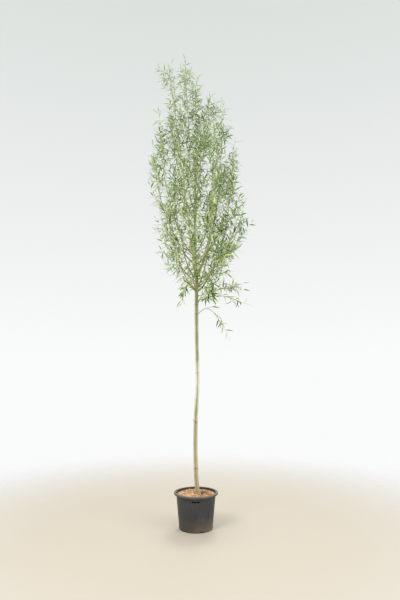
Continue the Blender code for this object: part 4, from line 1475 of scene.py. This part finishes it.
def growShoot(rng, line, stems, piles, leafy=1.0, shade=0.0):
    # leaves stand in a spiral round a fine shoot from foot to tip
    if not insideBox(line[-1]):
        return False
    first, last = foliage["shootRadius"]
    length = sum((b - a).length for a, b in zip(line, line[1:]))
    first *= 0.6 + 0.4 * length / foliage["shootLength"][1]
    radii = [first + (last - first) * i / (len(line) - 1) for i in range(len(line))]
    stems.add(*tubeShape(line, radii, foliage["shootSides"]))
    shared = rng.random() < 0.5
    tint = tintFor(rng, line[-1], shade)
    count = max(3, round(length * leafy / foliage["leafStep"]))
    spin = rng.uniform(0, 360)
    for k in range(count + 1):
        share = min(max(0.05 + 0.95 * (k + rng.uniform(-0.3, 0.3)) / count, 0.03), 1.0) if k < count else 1.0
        spot, along = alongPath(line, share)
        name = tint if shared and rng.random() < 0.7 else tintFor(rng, spot, shade)
        growLeaf(rng, spot, along, share, spin + growth["spiral"] * k + rng.uniform(-25, 25), name, piles)
    return True


def addShootsOn(rng, index, spots, stems, piles, leafy, slack):
    # extra shoots from the given places and headings, kept in the limb's own space
    total, shade = 0, foliage["shade"].get(limbs[index].name, 0.0)
    rise = foliage["rise"].get(limbs[index].name, 0.6)
    for root, along in spots:
        narrow = tipShare(limbs[index], root)
        for attempt in range(5):
            way = aimFrom(along, rng.uniform(*foliage["shootAngle"]) * narrow, rng.uniform(0, 360))
            length = rng.uniform(*foliage["shootLength"]) * (1 - 0.13 * attempt) * narrow
            towards = (along + Vector((0, 0, rise))).normalized()
            line = shootLine(rng, root, way, towards, length, foliage["shootTurn"])
            if all(spaces.reaches(index, point, slack) for point in (line[3], line[-1])):
                total += growShoot(rng, line, stems, piles, leafy, shade)
                break
    return total


def isLeading(limb, spot):
    # True for the spray that carries on from the limb's own end
    return (spot - limbPoint(limb, 1)).length < 0.001


def growChain(rng, limb, sprays, stems, piles):
    # a thin spray: a few leaves on the limb itself, some in place of each spray of the solids, and a leafy end
    each, total = foliage["chains"][limb.name], 0
    length = (limbPoint(limb, 1) - limbPoint(limb, limb.bare)).length
    count = round(length / foliage["chainStep"])
    shares = [limb.bare + (1 - limb.bare) * (k + rng.uniform(0.2, 0.8)) / count for k in range(count)]
    places = [(limbPoint(limb, t), limbHeading(limb, t)) for t in shares]
    places += [(spot, way) for spot, way in sprays for _ in range(each)]
    for number, (spot, way) in enumerate(places):
        turn = growth["spiral"] * number
        growLeaf(rng, spot, way, rng.uniform(0.5, 0.95), turn, tintFor(rng, spot, foliage["chainShade"]), piles)
    for spot, way in sprays:
        if isLeading(limb, spot):
            line = shootLine(rng, spot, way, way, growth["sprayLength"] * 0.85, 0.2)
            total += growShoot(rng, line, stems, piles, foliage["chainLeafy"], foliage["chainShade"])
    return total


def growCrown():
    piles = {name: LeafPile() for name in foliage["tints"]}
    twigParts, shootParts = MeshParts(), MeshParts()
    total = 0
    for index, limb in enumerate(limbs):
        rng = random.Random(limb.name + " fine")
        leafy = foliage["leafy"].get(limb.name, 1.0)
        shade = foliage["shade"].get(limb.name, 0.0)
        twigs, sprays = growMass(index)
        low = woodEnd(limb)
        if low < 1:
            line, radii = limbRun(limb, low, 1.0, 0.016)
            twigParts.add(*tubeShape(line, radii, 8))
        thick, thin = growth["twigDiameter"]
        for line in twigs:
            steps = [alongLine(line, i / 6)[0] for i in range(7)]
            twigParts.add(*tubeShape(steps, [(thick + (thin - thick) * i / 6) * 0.36 for i in range(7)], 6))
        if limb.name in foliage["chains"]:
            total += growChain(rng, limb, sprays, shootParts, piles)
            continue
        for spot, way in sprays:
            narrow = tipShare(limb, spot)
            way = (way + limbHeading(limb, 0.97) * 1.6 * (1 - narrow)).normalized()
            length = rng.uniform(0.62, 0.92) * growth["sprayLength"] * (0.4 + 0.6 * narrow)
            if isLeading(limb, spot):
                length = growth["sprayLength"] * 0.96
            rise = foliage["rise"].get(limb.name, 0.5)
            towards = (way + limbHeading(limb, 0.97) * (2 - 1.8 * narrow) + Vector((0, 0, rise))).normalized()
            line = shootLine(rng, spot, way, towards, length, 0.45 - 0.3 * narrow)
            total += growShoot(rng, line, shootParts, piles, leafy, shade)
        start = limb.bare * foliage["shootStart"]
        count = round((limbPoint(limb, 1) - limbPoint(limb, start)).length * leafy / foliage["shootStep"])
        shares = [start + (0.96 - start) * (k + rng.random()) / count for k in range(count)]
        spots = [(limbPoint(limb, t), limbHeading(limb, t)) for t in shares]
        total += addShootsOn(rng, index, spots, shootParts, piles, leafy, 1.15)
        extra = [line for line in twigs for _ in range(2) if rng.random() < 0.78 * leafy]
        spots = [alongLine(line, rng.uniform(0.3, 0.9)) for line in extra]
        total += addShootsOn(rng, index, spots, shootParts, piles, leafy, 1.25)
    print("crown grown:", total, "shoots and", sum(len(p.rows) for p in piles.values()), "leaves")
    return piles, twigParts, shootParts


def addCrown():
    piles, twigParts, shootParts = growCrown()
    young = twigParts.build("youngTwigs", [woodMaterial("youngBark", wood["young"], 0.35, 190.0)], "bough_bark")
    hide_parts(*massNodes)
    shoots = shootParts.build("greenShoots", [woodMaterial("shootBark", wood["shoot"], 0.3, 240.0)], "foliage")
    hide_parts(*massNodes)
    for name, pile in piles.items():
        top, under = foliage["tints"][name]
        materials = [leafMaterial(name + "Top", top, 0.55), leafMaterial(name + "Under", under, 0.75)]
        pile.build(name + "Leaves", materials)
        print(name, len(pile.rows), "leaves")


addCamera()
addLights()
addWorld()
addFloor()
print("camera, light and floor ready")
addPot()
addMulch()
print("pot and mulch ready")
addTrunk()
addBoughs()
print("trunk and boughs ready")
addCrown()
